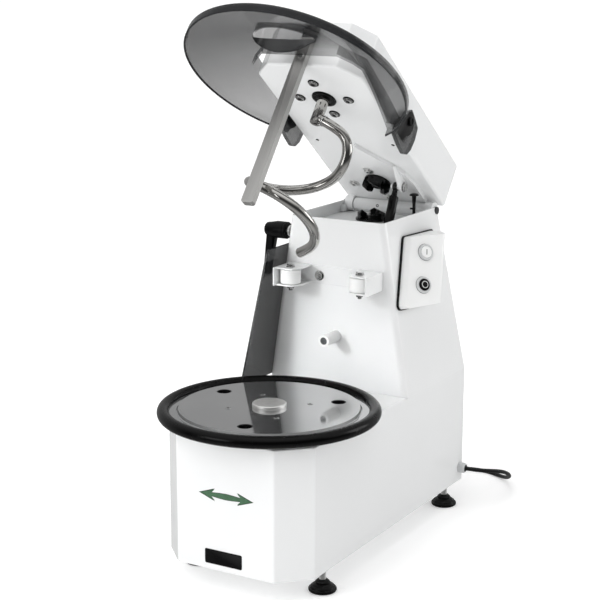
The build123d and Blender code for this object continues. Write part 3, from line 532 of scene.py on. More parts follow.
deg = 96
while deg <= 1344:
    r, z = coil_at(deg)
    a = math.radians(deg)
    k = 1.008
    cord_pts.append(W(COIL[0] + r * k * math.cos(a), COIL[1] + r * k * math.sin(a), z))
    deg += 24
cord_pts += [W(-64, 691.6, 12.4), (W(-55, 694.5, 12.8))]
curve = bpy.data.curves.new("mains_lead", "CURVE")
curve.dimensions = "3D"
sp = curve.splines.new("NURBS")
sp.points.add(len(cord_pts) - 1)
for p, q in zip(sp.points, cord_pts):
    p.co = (*q, 1)
sp.order_u = 3
sp.use_endpoint_u = True
sp.resolution_u = 6
curve.bevel_depth = 0.004
curve.bevel_resolution = 5
curve.use_fill_caps = True
lead = bpy.data.objects.new("mains_lead", curve)
scene.collection.objects.link(lead)
curve.materials.append(M["cord_sheath"])
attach(lead, "frame")
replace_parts(lead, "cord_lead", "cord_coil")

# tie round the coil
bm = bmesh.new()
tie_loops = []
prof = [(0.0348, 0.0003), (0.0348, 0.0166), (0.0354, 0.01695), (0.0523, 0.01695), (0.0529, 0.0166), (0.0529, 0.0003)]
for t in (-1, 1):
    tie_loops.append([(r, t * 0.0035, z) for r, z in prof] + [(r * 0.999, t * 0.0035, z - 0.0008 if z > 0.01 else z) for r, z in prof[::-1]])
a, b = [ring_verts(bm, l) for l in tie_loops]
bridge(bm, a, b)
tie = mesh_obj("coil_tie", bm, M["black_plastic"], "frame",
               Matrix.Translation(W(COIL[0], COIL[1], 0)) @ Matrix.Rotation(math.radians(200), 4, "Z"))

# plug
bm = bmesh.new()
N = 40


def squircle(rx, ry, x, k=1.0):
    return [(x, rx * math.cos(2 * math.pi * i / N), ry * math.sin(2 * math.pi * i / N)) for i in range(N)]


body = [(-0.032, 0.0095), (-0.031, 0.0118), (-0.027, 0.0148), (-0.021, 0.0166), (-0.014, 0.0172), (-0.004, 0.0174), (-0.002, 0.0166), (0.0, 0.0166), (0.0, 0.0172), (0.0014, 0.01735), (0.002, 0.0168)]
stack(bm, [squircle(r, r, x) for x, r in body])
plug_m = Matrix.Translation(W(0, 696, 18)) @ Matrix.Identity(4)
bmesh.ops.transform(bm, matrix=plug_m, verts=bm.verts[:])
# ribbed strain relief
p0, p1 = W(-57, 696, 12.4), W(-30.5, 696, 17.8)
part = bmesh.new()
loops = []
steps = 14
length = (p1 - p0).length
for i in range(steps + 1):
    t = i / steps
    r = 0.0047 + 0.0017 * t + (0.0 if i % 2 else 0.0007)
    loops.append(circle(min(r, 0.0064), t * length, 24))
stack(part, loops)
add(bm, part, frame_at(p0, p1 - p0))
plug = mesh_obj("lead_plug", bm, M["black_plastic"], "frame")
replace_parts(plug, "mains_plug")
bm = bmesh.new()
for dy in (-9.5, 9.5):
    part = bmesh.new()
    stack(part, [circle(0.0024, 0, 20), circle(0.0024, 0.0172, 20), circle(0.0021, 0.0184, 20), circle(0.0012, 0.019, 20)])
    add(bm, part, frame_at(W(2, 696 + dy, 18), (1, 0, 0)))
pins = mesh_obj("plug_pins", bm, M["zinc"], "frame")

# ------------------------------------------------------------------ soft edges on the CAD pieces
def soften(names, width, segments=2, limit=32):
    for n in names.split():
        o = NODES[n]
        w = o.modifiers.new("weld", "WELD")
        w.merge_threshold = 0.00001
        v = o.modifiers.new("edge", "BEVEL")
        v.width = width
        v.segments = segments
        v.limit_method = "ANGLE"
        v.angle_limit = math.radians(limit)
        v.use_clamp_overlap = True
        v.harden_normals = False


soften("breaker_bar bar_block", 0.0009)
soften("control_box", 0.0022, 3)
soften("lower_coupling upper_coupling", 0.0008)
soften("hinge_plate roller_bracket", 0.0008)
soften("stop_peg hinge_tube hinge_pin lever_stud switch_plunger", 0.0007)
soften("start_button stop_button", 0.0004)
soften("side_guard lid_brackets", 0.0006)
soften("turntable_boss", 0.0007)


def lathe(bm, profile, place, n=48, cap0=True, cap1=True):
    """Turned piece: (radius, height) pairs in millimetres."""
    part = bmesh.new()
    stack(part, [circle(max(r, 0.001) / 1000, z / 1000, n) for r, z in profile], cap0, cap1)
    add(bm, part, place)


def head_place(x, s, n, down=True):
    axis = Vector((0, SA, CA))
    return frame_at(H(x, s, n), -axis if down else axis)


# ------------------------------------------------------------------ spiral and spindle
SPIN_S = -147.0
TURNS = [(8, 30, -50), (20, 60, -62), (27, 71.5, -86), (38, 72.5, -110), (62, 73.5, -125), (90, 75, -139), (118, 75, -154), (146, 75, -168), (174, 75, -180.5), (202, 75, -194),
         (230, 75, -208.5), (258, 75, -223), (286, 75, -235), (314, 73.5, -245), (342, 70.5, -253), (370, 68.5, -259), (398, 69, -262.5), (420, 71, -266.5), (440, 73, -272)]
ctrl = [H(0, SPIN_S, -40)] + [H(p * math.cos(math.radians(a)), SPIN_S + p * math.sin(math.radians(a)), n) for a, p, n in TURNS]


def smooth_path(pts, per=12):
    out = []
    last = len(pts) - 1
    for i in range(1, last):
        a = pts[0] if i == 1 else (pts[i - 1] + pts[i]) / 2
        c = pts[last] if i == last - 1 else (pts[i] + pts[i + 1]) / 2
        for j in range(per):
            t = j / per
            out.append(a * (1 - t) ** 2 + pts[i] * 2 * t * (1 - t) + c * t * t)
    out.append(pts[last].copy())
    return out


def tube(bm, path, radii, n=32):
    rings = []
    up_dir = None
    for i, q in enumerate(path):
        d = (path[min(i + 1, len(path) - 1)] - path[max(i - 1, 0)]).normalized()
        if up_dir is None:
            up_dir = d.orthogonal()
        up_dir = (up_dir - d * up_dir.dot(d)).normalized()
        side_dir = d.cross(up_dir)
        r = radii[i]
        rings.append([q + (up_dir * math.cos(2 * math.pi * j / n) + side_dir * math.sin(2 * math.pi * j / n)) * r for j in range(n)])
    stack(bm, rings)


path = smooth_path(ctrl)
tip_dir = (path[-1] - path[-2]).normalized()
end = path[-1]
radii = [0.009] * (len(path) - 1)
path = path[:-1]
for d, r in ((-0.0022, 0.009), (-0.0012, 0.0084), (-0.0005, 0.0074), (0.0, 0.0055), (0.0001, 0.0028)):
    path.append(end + tip_dir * d)
    radii.append(r)
bm = bmesh.new()
tube(bm, path, radii)
lathe(bm, [(9.2, 72), (10.4, 70), (10.5, 1), (10.5, -5.4), (10.1, -5.8), (10.1, -7.0), (10.5, -7.4), (10.5, -50.6), (9.9, -51.7), (8.6, -52)], frame_at(H(0, SPIN_S, 0), (0, SA, CA)))
spiral = mesh_obj("spiral_tool", bm, M["chrome"], "spiral", angle=40)
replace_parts(spiral, "spiral_hook")
# weld bead where the bar leaves the spindle
bm = bmesh.new()
bead = next(i for i, q in enumerate(path) if (q - H(0, SPIN_S, -46)).length > 0.0125 and i > 2)
axis_d = (path[bead + 1] - path[bead - 1]).normalized()
part = bmesh.new()
rings = []
for j in range(9):
    t = j / 8 * math.pi
    z = -math.cos(t) * 0.0026
    grow = math.sin(t) * 0.0013
    rings.append([((0.0089 + grow * (0.8 + 0.2 * math.sin(11 * 2 * math.pi * i / 48))) * math.cos(2 * math.pi * i / 48),
                   (0.0089 + grow * (0.8 + 0.2 * math.sin(11 * 2 * math.pi * i / 48))) * math.sin(2 * math.pi * i / 48), z) for i in range(48)])
stack(part, rings)
add(bm, part, frame_at(path[bead], axis_d))
mesh_obj("spiral_weld", bm, M["zinc"], "spiral")

# shaft seal round the spindle
bm = bmesh.new()
part = bmesh.new()
prof = [(11.0, 0.2), (22.6, 0.2), (22.9, -0.6), (22.4, -2.0), (20.6, -2.6), (17.5, -2.6), (16.2, -1.5), (13.6, -1.4), (12.0, -2.3), (11.0, -2.2)]
rings = [ring_verts(part, circle(r / 1000, z / 1000, 56)) for r, z in prof]
for ra, rb in zip(rings, rings[1:] + rings[:1]):
    bridge(part, ra, rb)
add(bm, part, frame_at(H(0, SPIN_S, 0), (0, SA, CA)))
mesh_obj("spindle_seal", bm, M["seal"], "head")

# ------------------------------------------------------------------ screws
bm, dark = bmesh.new(), bmesh.new()


def screw(x, s, n, rim):
    place = head_place(x, s, n)
    if rim:
        socket_screw(bm, 0.0082, 0.0031, place @ Matrix.Translation((0, 0, 0.0013)))
        # painted shadow: a dark ring under each rim screw's head
        lathe(dark, [(10.3, 0), (10.3, 1.0), (9.8, 1.3), (6.0, 1.3)], place, 32)
    else:
        socket_screw(bm, 0.0062, 0.0031, place, washer=0.0102, wash_t=0.0013)
    part = bmesh.new()
    # painted shade: a dark hexagon at the bottom of each socket
    stack(part, [hexagon(0.0034, 0.0024, 24), hexagon(0.0034, 0.0034, 24)])
    add(dark, part, place)


for a in (0, 90, 180, 270):
    screw(49 * math.cos(math.radians(a)), SPIN_S + 49 * math.sin(math.radians(a)), 0, True)
for x, sv in ((-5, 88), (0, 184), (-57, 142)):
    screw(x, sv, -8, False)
hex_bolt(bm, 0.006, 0.0029, frame_at(H(1.5, -262, 11.5), (0, -CA, SA)))
# screws away from the spindle use the lightened zinc, which is painted light
fasteners = mesh_obj("head_fasteners", bm, M["zinc_painted_light"], "head")
fasteners.data.materials.append(M["zinc"])
for f in fasteners.data.polygons:
    if (f.center - H(0, SPIN_S, 0)).length < 0.065:
        f.material_index = 1
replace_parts(fasteners, "head_screws")
mesh_obj("head_socket_shade", dark, M["seal"], "head")

bm, dark = bmesh.new(), bmesh.new()
for a in (41, 131, 221, 311):
    place = frame_at(W(72.6 * math.cos(math.radians(a)), 145.1 + 72.6 * math.sin(math.radians(a)), 302), (0, 0, 1))
    socket_screw(bm, 0.005, 0.001, place)
    part = bmesh.new()
    # painted shade: a dark hexagon in each socket
    stack(part, [hexagon(0.0024, 0.00035, 24), hexagon(0.0024, 0.0007, 24)])
    add(dark, part, place)
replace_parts(mesh_obj("plate_screws", bm, M["zinc"], "turntable"), "turntable_screws")
mesh_obj("plate_socket_shade", dark, M["seal"], "turntable")

bm, dark = bmesh.new(), bmesh.new()
for u, z in ((-425, 335), (-425, 425), (-437, 520)):
    place = frame_at(side_l(u, up(z), 3.5), side_l(0, 0, 1) - side_l(0, 0, 0))
    socket_screw(bm, 0.005, 0.0027, place)
    part = bmesh.new()
    # painted shade: a dark hexagon in each socket
    stack(part, [hexagon(0.0024, 0.001, 24), hexagon(0.0024, 0.0015, 24)])
    add(dark, part, place)
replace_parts(mesh_obj("guard_screws", bm, M["zinc"], "frame"), "panel_screws")
mesh_obj("guard_socket_shade", dark, M["seal"], "frame")

# dark sleeves in the holes for the bowl's pins
bm = bmesh.new()
for a in (42.3, 162.3, 282.3):
    part = bmesh.new()
    prof = [(13.45, 301.9), (13.45, 291.0), (11.6, 291.0), (11.6, 300.9), (12.2, 301.7)]
    rings = [ring_verts(part, circle(r / 1000, z / 1000, 40)) for r, z in prof]
    for ra, rb in zip(rings, rings[1:] + rings[:1]):
        bridge(part, ra, rb)
    add(bm, part, Matrix.Translation(W(124 * math.cos(math.radians(a)), 145.1 + 124 * math.sin(math.radians(a)), 0)))
mesh_obj("pin_sleeves", bm, M["seal"], "turntable")

# roller bolts: head, shank, nut and thread end
bm = bmesh.new()
for sx in (-1, 1):
    o = W(sx * 72, 340, 0)
    lathe(bm, [(3.9, 466), (3.9, 513)], Matrix.Translation(o), 24)
    hex_bolt(bm, 0.0072, 0.0042, frame_at(o + Vector((0, 0, 0.508)), (0, 0, 1)), washer=0.0084, wash_t=0.0011)
    hex_bolt(bm, 0.0074, 0.0048, frame_at(o + Vector((0, 0, 0.474)), (0, 0, -1), (0.9, 0.4, 0)), washer=0.0084, wash_t=0.0011)
    thread = [(3.2, 464.0), (3.8, 464.6)]
    z = 465.0
    while z < 468:
        thread += [(4.0, z), (3.45, z + 0.5)]
        z += 1.0
    lathe(bm, thread, Matrix.Translation(o), 24)
hex_bolt(bm, 0.0073, 0.0048, frame_at(W(-33, 378.8, 489), (0, -1, 0)), washer=0.0095, wash_t=0.0013)
lathe(bm, [(4, 0), (4, 9)], frame_at(W(-33, 380, 489), (0, 1, 0)), 20)
lathe(bm, [(4, 0), (4, 1.0), (3.4, 1.6)], frame_at(W(-33, 374.4, 489), (0, -1, 0)), 20)
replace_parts(mesh_obj("roller_fasteners", bm, M["zinc"], "frame"), "roller_bolts")

# lid pivots: shouldered screw with a round cap
bm = bmesh.new()
for sx in (-1, 1):
    place = frame_at(H(sx * 100, -40.5, 27.7), (sx, 0, 0))
    lathe(bm, [(4, 0), (4, 4.7), (7, 4.8), (7, 11.6), (4, 11.7), (4, 20.4), (7.9, 20.4), (8.4, 20.9), (8.5, 22.6), (8.1, 23.7), (7.2, 24.35), (5.6, 24.5), (4.9, 24.2), (4.6, 23.2), (0.5, 23.2)], place, 40)
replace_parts(mesh_obj("lid_pivots", bm, M["black_plastic"], "head"), "lid_screws")
# black hub plates on the lid's ears
HUB = [(-55.5, 37.0), (-47, 45.0), (-37, 43.8), (-28, 38.8), (-23.5, 30), (-21, 21), (-25, 9), (-37, -2), (-42, -13), (-49, -16.5), (-61, -15.5), (-71, -12), (-67, 2), (-60, 19)]
bm = bmesh.new()
for sx in (-1, 1):
    loops = []
    for x, k in ((119.9, 1.0), (120.22, 1.0), (120.36, 0.985)):
        cs, cn = sum(q[0] for q in HUB) / len(HUB), sum(q[1] for q in HUB) / len(HUB)
        loops.append([H(sx * x, cs + (q[0] - cs) * k, cn + (q[1] - cn) * k) for q in HUB])
    part = bmesh.new()
    stack(part, loops)
    add(bm, part, Matrix.Identity(4))
mesh_obj("lid_hubs", bm, M["black_plastic"], "lid")

# grommets in the two small holes under the head
bm = bmesh.new()
for sx in (-1, 1):
    part = bmesh.new()
    prof = [(3.45, 0.3), (3.45, 1.9), (1.2, 1.9), (1.2, 1.2), (2.2, 0.9)]
    rings = [ring_verts(part, circle(r / 1000, z / 1000, 28)) for r, z in prof]
    for ra, rb in zip(rings, rings[1:] + rings[:1]):
        bridge(part, ra, rb)
    part.faces.new(ring_verts(part, circle(0.0013, 0.0016, 28)))
    add(bm, part, frame_at(H(sx * 79, 0, 0), (0, SA, CA)))
mesh_obj("underside_grommets", bm, M["seal"], "head")

# hub between the lobes of the coupling under the head
bm = bmesh.new()
lathe(bm, [(10.8, -11.5), (10.8, -17.6), (10.2, -19.2), (8.6, -20.6), (6.4, -21.2), (5.2, -21.2), (4.8, -20.2), (0.4, -20.0)], frame_at(H(0, 126.25, 0), (0, SA, CA)), 40)
mesh_obj("coupling_hub", bm, M["black_cast"], "head_input")

# nut on the gas spring's upper pin
bm = bmesh.new()
hex_bolt(bm, 0.0082, 0.0042, frame_at(H(61, 120.0, -20.0), (1, 0, 0), (0, 0.3, 1)), washer=0.0094, wash_t=0.0012, dome=0.0)
lathe(bm, [(4.6, 0), (4.6, 4.4), (3.8, 5.0)], frame_at(H(61, 120.0, -20.0), (1, 0, 0)), 24)
mesh_obj("gas_pin_nut", bm, M["zinc"], "head")

# ------------------------------------------------------------------ clamp lever's hub
bm = bmesh.new()
lathe(bm, [(9.8, 0), (12.4, 0.4), (12.4, 2.6), (15.2, 3.2), (16.2, 4.6), (16.2, 7.6), (15.5, 8.2), (15.5, 9.4), (16.2, 10.0), (16.2, 27.0), (15.4, 31.5), (14.3, 36.5),
           (13.3, 42.0), (12.8, 46.6), (10.6, 49.6), (7.5, 51.0), (3.0, 51.4)], frame_at(W(-109.6, 400, 563), (-1, 0, 0)), 40)
mesh_obj("lever_hub", bm, M["black_plastic"], "lever")
bm = bmesh.new()
lathe(bm, [(9.4, 0), (10.6, 0.3), (10.6, 1.0), (9.9, 1.3), (9.9, 1.7), (10.6, 2.0), (10.6, 2.9), (9.4, 3.2)], frame_at(W(-106.1, 400, 563), (-1, 0, 0)), 40)
mesh_obj("lever_collar", bm, M["zinc_painted_light"], "frame")

# ------------------------------------------------------------------ feet
FEET = [(-127.7, 110.0), (127.7, 110.0), (-126.6, 604.0), (126.6, 604.0)]
pads, studs = bmesh.new(), bmesh.new()
PAD = [(19.5, 0), (22.4, 0.2), (24.0, 1.3), (24.75, 3.0), (24.75, 4.8), (24.2, 6.2), (23.2, 7.0), (22.3, 7.2), (22.0, 7.6), (21.9, 8.4), (21.0, 9.8), (19.4, 11.0), (18.4, 11.2), (18.0, 11.6), (17.6, 12.4), (16.2, 13.4),
       (14.2, 14.2), (13.2, 14.7), (12.9, 15.6), (12.9, 17.4), (12.3, 18.2), (11.2, 18.9), (10.6, 19.6), (9.4, 20.8), (7.4, 21.6), (6.2, 21.8)]
for fx, fy in FEET:
    place = Matrix.Translation(W(fx, fy, 0))
    lathe(pads, PAD, place, 56)
    thread = []
    z = 21.8
    while z < 61:
        thread += [(5.95, z), (5.95, z + 0.25), (5.2, z + 0.8), (5.2, z + 1.0)]
        z += 1.5
    lathe(studs, thread + [(5.0, 62)], place, 28)
    for z0, h in ((37.0, 8.9), (48.5, 8.0)):
        part = bmesh.new()
        stack(part, [circle(0.0085, z0 / 1000, 24), hexagon(0.0096, (z0 + 0.9) / 1000, 24), hexagon(0.0096, (z0 + h - 0.9) / 1000, 24), circle(0.0085, (z0 + h) / 1000, 24)])
        add(studs, part, place)
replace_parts(mesh_obj("rubber_feet", pads, M["black_rubber"], "frame"), "foot_pads")
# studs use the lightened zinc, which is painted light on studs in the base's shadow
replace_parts(mesh_obj("threaded_feet", studs, M["zinc_painted_light"], "frame"), "foot_studs")

# ------------------------------------------------------------------ cable gland
bm = bmesh.new()
part = bmesh.new()


def ribbed(r, z, depth, n=96, ribs=16):
    return [((r - depth * (0.5 + 0.5 * math.cos(ribs * 2 * math.pi * i / n))) * math.cos(2 * math.pi * i / n),
             (r - depth * (0.5 + 0.5 * math.cos(ribs * 2 * math.pi * i / n))) * math.sin(2 * math.pi * i / n), z) for i in range(n)]


stack(part, [circle(0.0078, -0.012, 96), circle(0.0078, 0.0, 96), circle(0.0109, 0.0, 96), circle(0.0109, 0.0026, 96), circle(0.0104, 0.003, 96), ribbed(0.0105, 0.0036, 0.0008),
             ribbed(0.0105, 0.0095, 0.0008), circle(0.0092, 0.012, 96), circle(0.0082, 0.0138, 96), circle(0.0070, 0.0139, 96), circle(0.0066, 0.0128, 96)])
add(bm, part, frame_at(W(146.5, 631, 73), (1, 0, 0)))
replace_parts(mesh_obj("lead_gland", bm, M["pale_grey_plastic"], "frame"), "cable_gland")
bm = bmesh.new()
lathe(bm, [(6.5, 12.6), (6.3, 13.7), (5.2, 14.6), (4.2, 14.8)], frame_at(W(146.5, 631, 73), (1, 0, 0)), 40)
mesh_obj("gland_mouth", bm, M["seal"], "frame")

# ------------------------------------------------------------------ peg end, grub screw
bm = bmesh.new()
lathe(bm, [(6.9, 0), (6.9, 2.2), (6.5, 2.6), (3.2, 2.6), (2.6, 1.4), (0.4, 1.2)], frame_at(W(0, 339, 377), (0, -1, 0)), 40)
mesh_obj("peg_insert", bm, M["grey_plastic"], "frame")
bm = bmesh.new()
lathe(bm, [(2.9, -1.0), (2.9, 0.1), (2.5, 0.35), (1.7, 0.35), (1.5, -0.6), (0.2, -0.7)], frame_at(W(-22.6, 588.05, 591.6), (0, -0.996, 0.094)), 24)
mesh_obj("tube_grub_screw", bm, M["seal"], "head")

# ------------------------------------------------------------------ gas spring cylinder with its eye
GT, GL = W(45, 532.7, 641.2), W(45, 430.5, 404.6)
gd = (GL - GT).normalized()
bm = bmesh.new()
part = bmesh.new()
prof = [(3.2, 3.5), (4.4, 6.0), (5.2, 12.0), (5.6, 17.0), (7.4, 19.0), (8.7, 20.2), (9.0, 21.6), (9.0, 136.2), (8.4, 138.6), (7.4, 139.8), (5.2, 140)]
stack(part, [circle(r / 1000, z / 1000, 40) for r, z in prof])
add(bm, part, frame_at(GT, gd))
part = bmesh.new()
eye_prof = [(5.1, -4.2), (7.4, -4.2), (8.6, -3.2), (8.9, 0), (8.6, 3.2), (7.4, 4.2), (5.1, 4.2)]
rings = [ring_verts(part, circle(r / 1000, z / 1000, 36)) for r, z in eye_prof]
for ra, rb in zip(rings, rings[1:] + rings[:1]):
    bridge(part, ra, rb)
add(bm, part, frame_at(GT, (1, 0, 0)))
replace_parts(mesh_obj("gas_cylinder", bm, M["gloss_black"], "gas_body"), "gas_spring_body")

# ------------------------------------------------------------------ prints and marks
def plate_piece(outline, place, t, mat, body, name):
    """Thin print with a slightly drawn-in upper edge. Outline in millimetres, counter-clockwise."""
    bm = bmesh.new()
    cx, cy = sum(q[0] for q in outline) / len(outline), sum(q[1] for q in outline) / len(outline)
    stack(bm, [[(x / 1000, y / 1000, 0) for x, y in outline], [(x / 1000, y / 1000, t * 0.6) for x, y in outline],
               [((cx + (x - cx) * 0.996) / 1000, (cy + (y - cy) * 0.996) / 1000, t) for x, y in outline]])
    bmesh.ops.transform(bm, matrix=place, verts=bm.verts[:])
    return mesh_obj(name, bm, mat, body, smooth=False)


def arrow(k, m):
    """Two-headed arrow with a swelling shaft, drawn in by m millimetres."""
    half = [(54.6 - 4.2 * m, 0), (22.3 + 0.4 * m, 11.3 - 2.0 * m), (30.0 - 0.4 * m, 3.5 - 0.75 * m)]
    mid = [(15, 4.9 - m), (0, 5.7 - m), (-15, 4.9 - m)]
    top = half[:1] + half[1:] + mid + [(-x, y) for x, y in half[:0:-1]]
    bottom = [(-half[0][0], 0)] + [(x, -y) for x, y in [(-half[1][0], half[1][1]), (-half[2][0], half[2][1])]] + [(x, -y) for x, y in mid[::-1]] + [(half[2][0], -half[2][1]), (half[1][0], -half[1][1])]
    return [(x * k, y * k) for x, y in top + bottom]


front_face = frame_at(W(2.65, 0, 180.7), (0, -1, 0), (1, 0, 0))
plate_piece(arrow(1.0, 0.0), front_face, 0.00018, M["green_print"], "frame", "arrow_print")
plate_piece(arrow(1.0, 0.9), front_face @ Matrix.Translation((0, 0, 0.00018)), 0.0001, M["green_light"], "frame", "arrow_print_field")

e_dir = Vector((445.5 - 389.5, up(563) - up(438.5)))
e_dir.normalize()
GT33, GS33 = math.cos(math.radians(33)), math.sin(math.radians(33))
face_o = side_r(389.5 + 3 * e_dir.y, up(438.5) - 3 * e_dir.x, 17.0)
zero = side_r(0, 0, 0)
face_x = side_r(e_dir.y * GT33, -e_dir.x * GT33, GS33) - zero
face_z = side_r(-e_dir.y * GS33, e_dir.x * GS33, GT33) - zero
face_m = frame_at(face_o, face_z, face_x)


def on_face(x, y, w):
    return face_m @ Matrix.Translation((x / 1000, y / 1000, w / 1000))


# I on the start button, drawn upright as seen from the front; ring on the stop button
tilt_mark = Matrix.Rotation(math.radians(4), 4, "Z")
bar = [(-0.9, -5.0), (0.9, -5.0), (0.9, 5.0), (-0.9, 5.0)]
plate_piece(bar, on_face(33.0, 115.4, 5.0) @ tilt_mark, 0.0001, M["grey_print"], "start", "start_mark")
bm = bmesh.new()
part = bmesh.new()
prof = [(5.3, 6.4), (6.7, 6.4), (6.7, 6.62), (6.5, 6.68), (5.5, 6.7), (5.3, 6.66)]
rings = [ring_verts(part, circle(r / 1000, z / 1000, 40)) for r, z in prof]
for ra, rb in zip(rings, rings[1:] + rings[:1]):
    bridge(part, ra, rb)
add(bm, part, on_face(33.3, 53.6, 0))
mesh_obj("stop_mark", bm, M["pale_print"], "stop")

# painted shade: dark rings in the gaps round the buttons, and painted shadow rings on the face under their bezels
bm = bmesh.new()
for bx, by in ((33.0, 115.4), (33.3, 53.6)):
    for prof in ([(11.05, 3.2), (11.38, 3.2), (11.38, 3.6), (11.05, 3.6)], [(15.2, 0.0), (15.9, 0.0), (15.9, 0.16), (15.2, 0.22)]):
        part = bmesh.new()
        rings = [ring_verts(part, circle(r / 1000, z / 1000, 48)) for r, z in prof]
        for ra, rb in zip(rings, rings[1:] + rings[:1]):
            bridge(part, ra, rb)
        add(bm, part, on_face(bx, by, 0))
mesh_obj("bezel_shade_rings", bm, M["grey_plastic"], "frame")

# blank plate with rounded corners
vs = [v.co for v in NODES["blank_plate"].data.vertices]
lo = [min(v[i] for v in vs) for i in range(3)]
hi = [max(v[i] for v in vs) for i in range(3)]
hx, hz, rad = (hi[0] - lo[0]) / 2, (hi[2] - lo[2]) / 2, 0.0028
edge = []
for cx, cz, a0 in ((hx - rad, hz - rad, 0), (rad - hx, hz - rad, 90), (rad - hx, rad - hz, 180), (hx - rad, rad - hz, 270)):
    for k in range(7):
        a = math.radians(a0 + 15 * k)
        edge.append((cx + rad * math.cos(a), cz + rad * math.sin(a)))
bm = bmesh.new()
t = hi[1] - lo[1]
stack(bm, [[(x, y, 0) for x, y in edge], [(x, y, t * 0.7) for x, y in edge], [(x * 0.995, y * 0.985, t) for x, y in edge], [(x * 0.97, y * 0.91, t) for x, y in edge], [(x * 0.967, y * 0.90, t * 0.86) for x, y in edge]])
plate = mesh_obj("rounded_plate", bm, M["black_enamel"], "frame", frame_at(Vector(((lo[0] + hi[0]) / 2, hi[1], (lo[2] + hi[2]) / 2)), (0, -1, 0), (1, 0, 0)))
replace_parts(plate, "blank_plate")

# ------------------------------------------------------------------ floor and light
bm = bmesh.new()
bmesh.ops.create_grid(bm, x_segments=1, y_segments=1, size=120)
me = bpy.data.meshes.new("floor")
bm.to_mesh(me)
bm.free()
floor = bpy.data.objects.new("floor", me)
scene.collection.objects.link(floor)
fm, fnt, fb = new_mat("floor_pale")
fb.inputs["Base Color"].default_value = (0.9, 0.9, 0.9, 1)
fb.inputs["Roughness"].default_value = 0.9
fb.inputs["Specular IOR Level"].default_value = 0.0
fb.inputs["Emission Color"].default_value = (1, 1, 1, 1)
fb.inputs["Emission Strength"].default_value = 0.25
me.materials.append(fm)
floor.visible_glossy = False
# pale wall far behind the floor, for low views; only the camera sees it
bm = bmesh.new()
bridge(bm, ring_verts(bm, circle(100, -1, 64)), ring_verts(bm, circle(100, 90, 64)))
me = bpy.data.meshes.new("backdrop")
bm.to_mesh(me)
bm.free()
wall = bpy.data.objects.new("backdrop", me)
scene.collection.objects.link(wall)
wm, wnt, wb = new_mat("backdrop_pale")
wb.inputs["Base Color"].default_value = (0.9, 0.9, 0.9, 1)
wb.inputs["Roughness"].default_value = 0.9
wb.inputs["Specular IOR Level"].default_value = 0.0
wb.inputs["Emission Color"].default_value = (1, 1, 1, 1)
wb.inputs["Emission Strength"].default_value = 1.0
me.materials.append(wm)
wall.visible_diffuse = wall.visible_glossy = wall.visible_shadow = False

world = bpy.data.worlds.new("studio")
scene.world = world
world.use_nodes = True
wn = world.node_tree
bg = next(n for n in wn.nodes if n.type == "BACKGROUND")
tc = wn.nodes.new("ShaderNodeTexCoord")
sep = wn.nodes.new("ShaderNodeSeparateXYZ")
wn.links.new(tc.outputs["Generated"], sep.inputs["Vector"])


def ramp_of(stops, value):
    r = wn.nodes.new("ShaderNodeValToRGB")
    els = r.color_ramp.elements
    els[0].position, els[1].position = stops[0][0], stops[-1][0]
    els[0].color, els[1].color = (stops[0][1],) * 3 + (1,), (stops[-1][1],) * 3 + (1,)
    for pos, v in stops[1:-1]:
        els.new(pos).color = (v, v, v, 1)
    fac = wn.nodes.new("ShaderNodeMapRange")
    fac.inputs["From Min"].default_value = -1.0
    wn.links.new(value, fac.inputs["Value"])
    wn.links.new(fac.outputs["Result"], r.inputs["Fac"])
    return r.outputs["Color"]


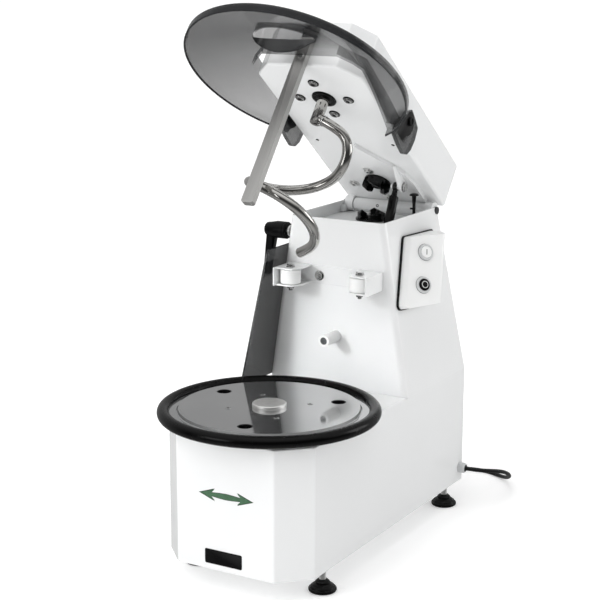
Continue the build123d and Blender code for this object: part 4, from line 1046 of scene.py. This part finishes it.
front_sky = ramp_of([(0.0, 0.6), (0.2, 0.4), (0.38, 0.05), (0.60, 0.045), (0.70, 0.18), (0.80, 0.65), (1.0, 1.1)], sep.outputs["Z"])
back_sky = ramp_of([(0.0, 0.24), (0.35, 0.32), (0.5, 0.40), (0.65, 0.40), (0.8, 0.5), (1.0, 0.8)], sep.outputs["Z"])
side = wn.nodes.new("ShaderNodeVectorMath")
side.operation = "DOT_PRODUCT"
side.inputs[1].default_value = (-0.50, 0.866, 0)
wn.links.new(tc.outputs["Generated"], side.inputs[0])
where = wn.nodes.new("ShaderNodeMapRange")
where.inputs["From Min"].default_value = -0.15
where.inputs["From Max"].default_value = 0.35
wn.links.new(side.outputs["Value"], where.inputs["Value"])
both = wn.nodes.new("ShaderNodeMix")
both.data_type = "RGBA"
wn.links.new(where.outputs["Result"], both.inputs["Factor"])
wn.links.new(front_sky, both.inputs["A"])
wn.links.new(back_sky, both.inputs["B"])
wn.links.new(both.outputs["Result"], bg.inputs["Color"])
bg.inputs["Strength"].default_value = 1.0


def lamp(name, kind, loc, target, energy, size=1.0, angle=None, spread=None):
    d = bpy.data.lights.new(name, kind)
    d.energy = energy
    if kind == "AREA":
        d.shape = "RECTANGLE"
        d.size, d.size_y = size
    if angle is not None:
        d.angle = math.radians(angle)
    if spread is not None:
        d.spread = math.radians(spread)
    o = bpy.data.objects.new(name, d)
    scene.collection.objects.link(o)
    o.location = loc
    o.rotation_mode = "QUATERNION"
    o.rotation_quaternion = (Vector(target) - Vector(loc)).to_track_quat("-Z", "Y")
    return o


LAMPS = [
    ("key_sun", "SUN", (-1.6, -3.6, 4.2), (0, 0, 0), 1.2, 1.0, 60, None),
    ("front_low", "AREA", (-1.3, -3.3, 0.9), (0, 0, 0.5), 17.5, (1.6, 1.4), None, None),
    ("right_soft", "AREA", (3.0, 0.8, 1.3), (0, 0, 0.45), 6, (2.2, 1.8), None, None),
    ("right_back", "AREA", (2.7, 2.1, 1.2), (0, 0.1, 0.45), 19.5, (1.6, 1.6), None, None),
    ("top_soft", "AREA", (0.3, -0.3, 3.4), (0, 0, 0.5), 12, (2.0, 2.0), None, None),
    ("left_soft", "AREA", (-2.1, -2.4, 0.8), (0, -0.2, 0.35), 9.0, (1.0, 1.2), None, None),
    ("column_fill", "AREA", (-0.6, -1.2, 0.95), (-0.06, 0.03, 0.34), 0.15, (0.3, 0.3), None, 17),
]
for name, kind, loc, target, energy, size, angle, spread in LAMPS:
    o = lamp(name, kind, loc, target, energy, size, angle, spread)
    o.visible_glossy = name not in ("key_sun", "top_soft", "left_soft", "column_fill")
scene.view_settings.view_transform = "Standard"
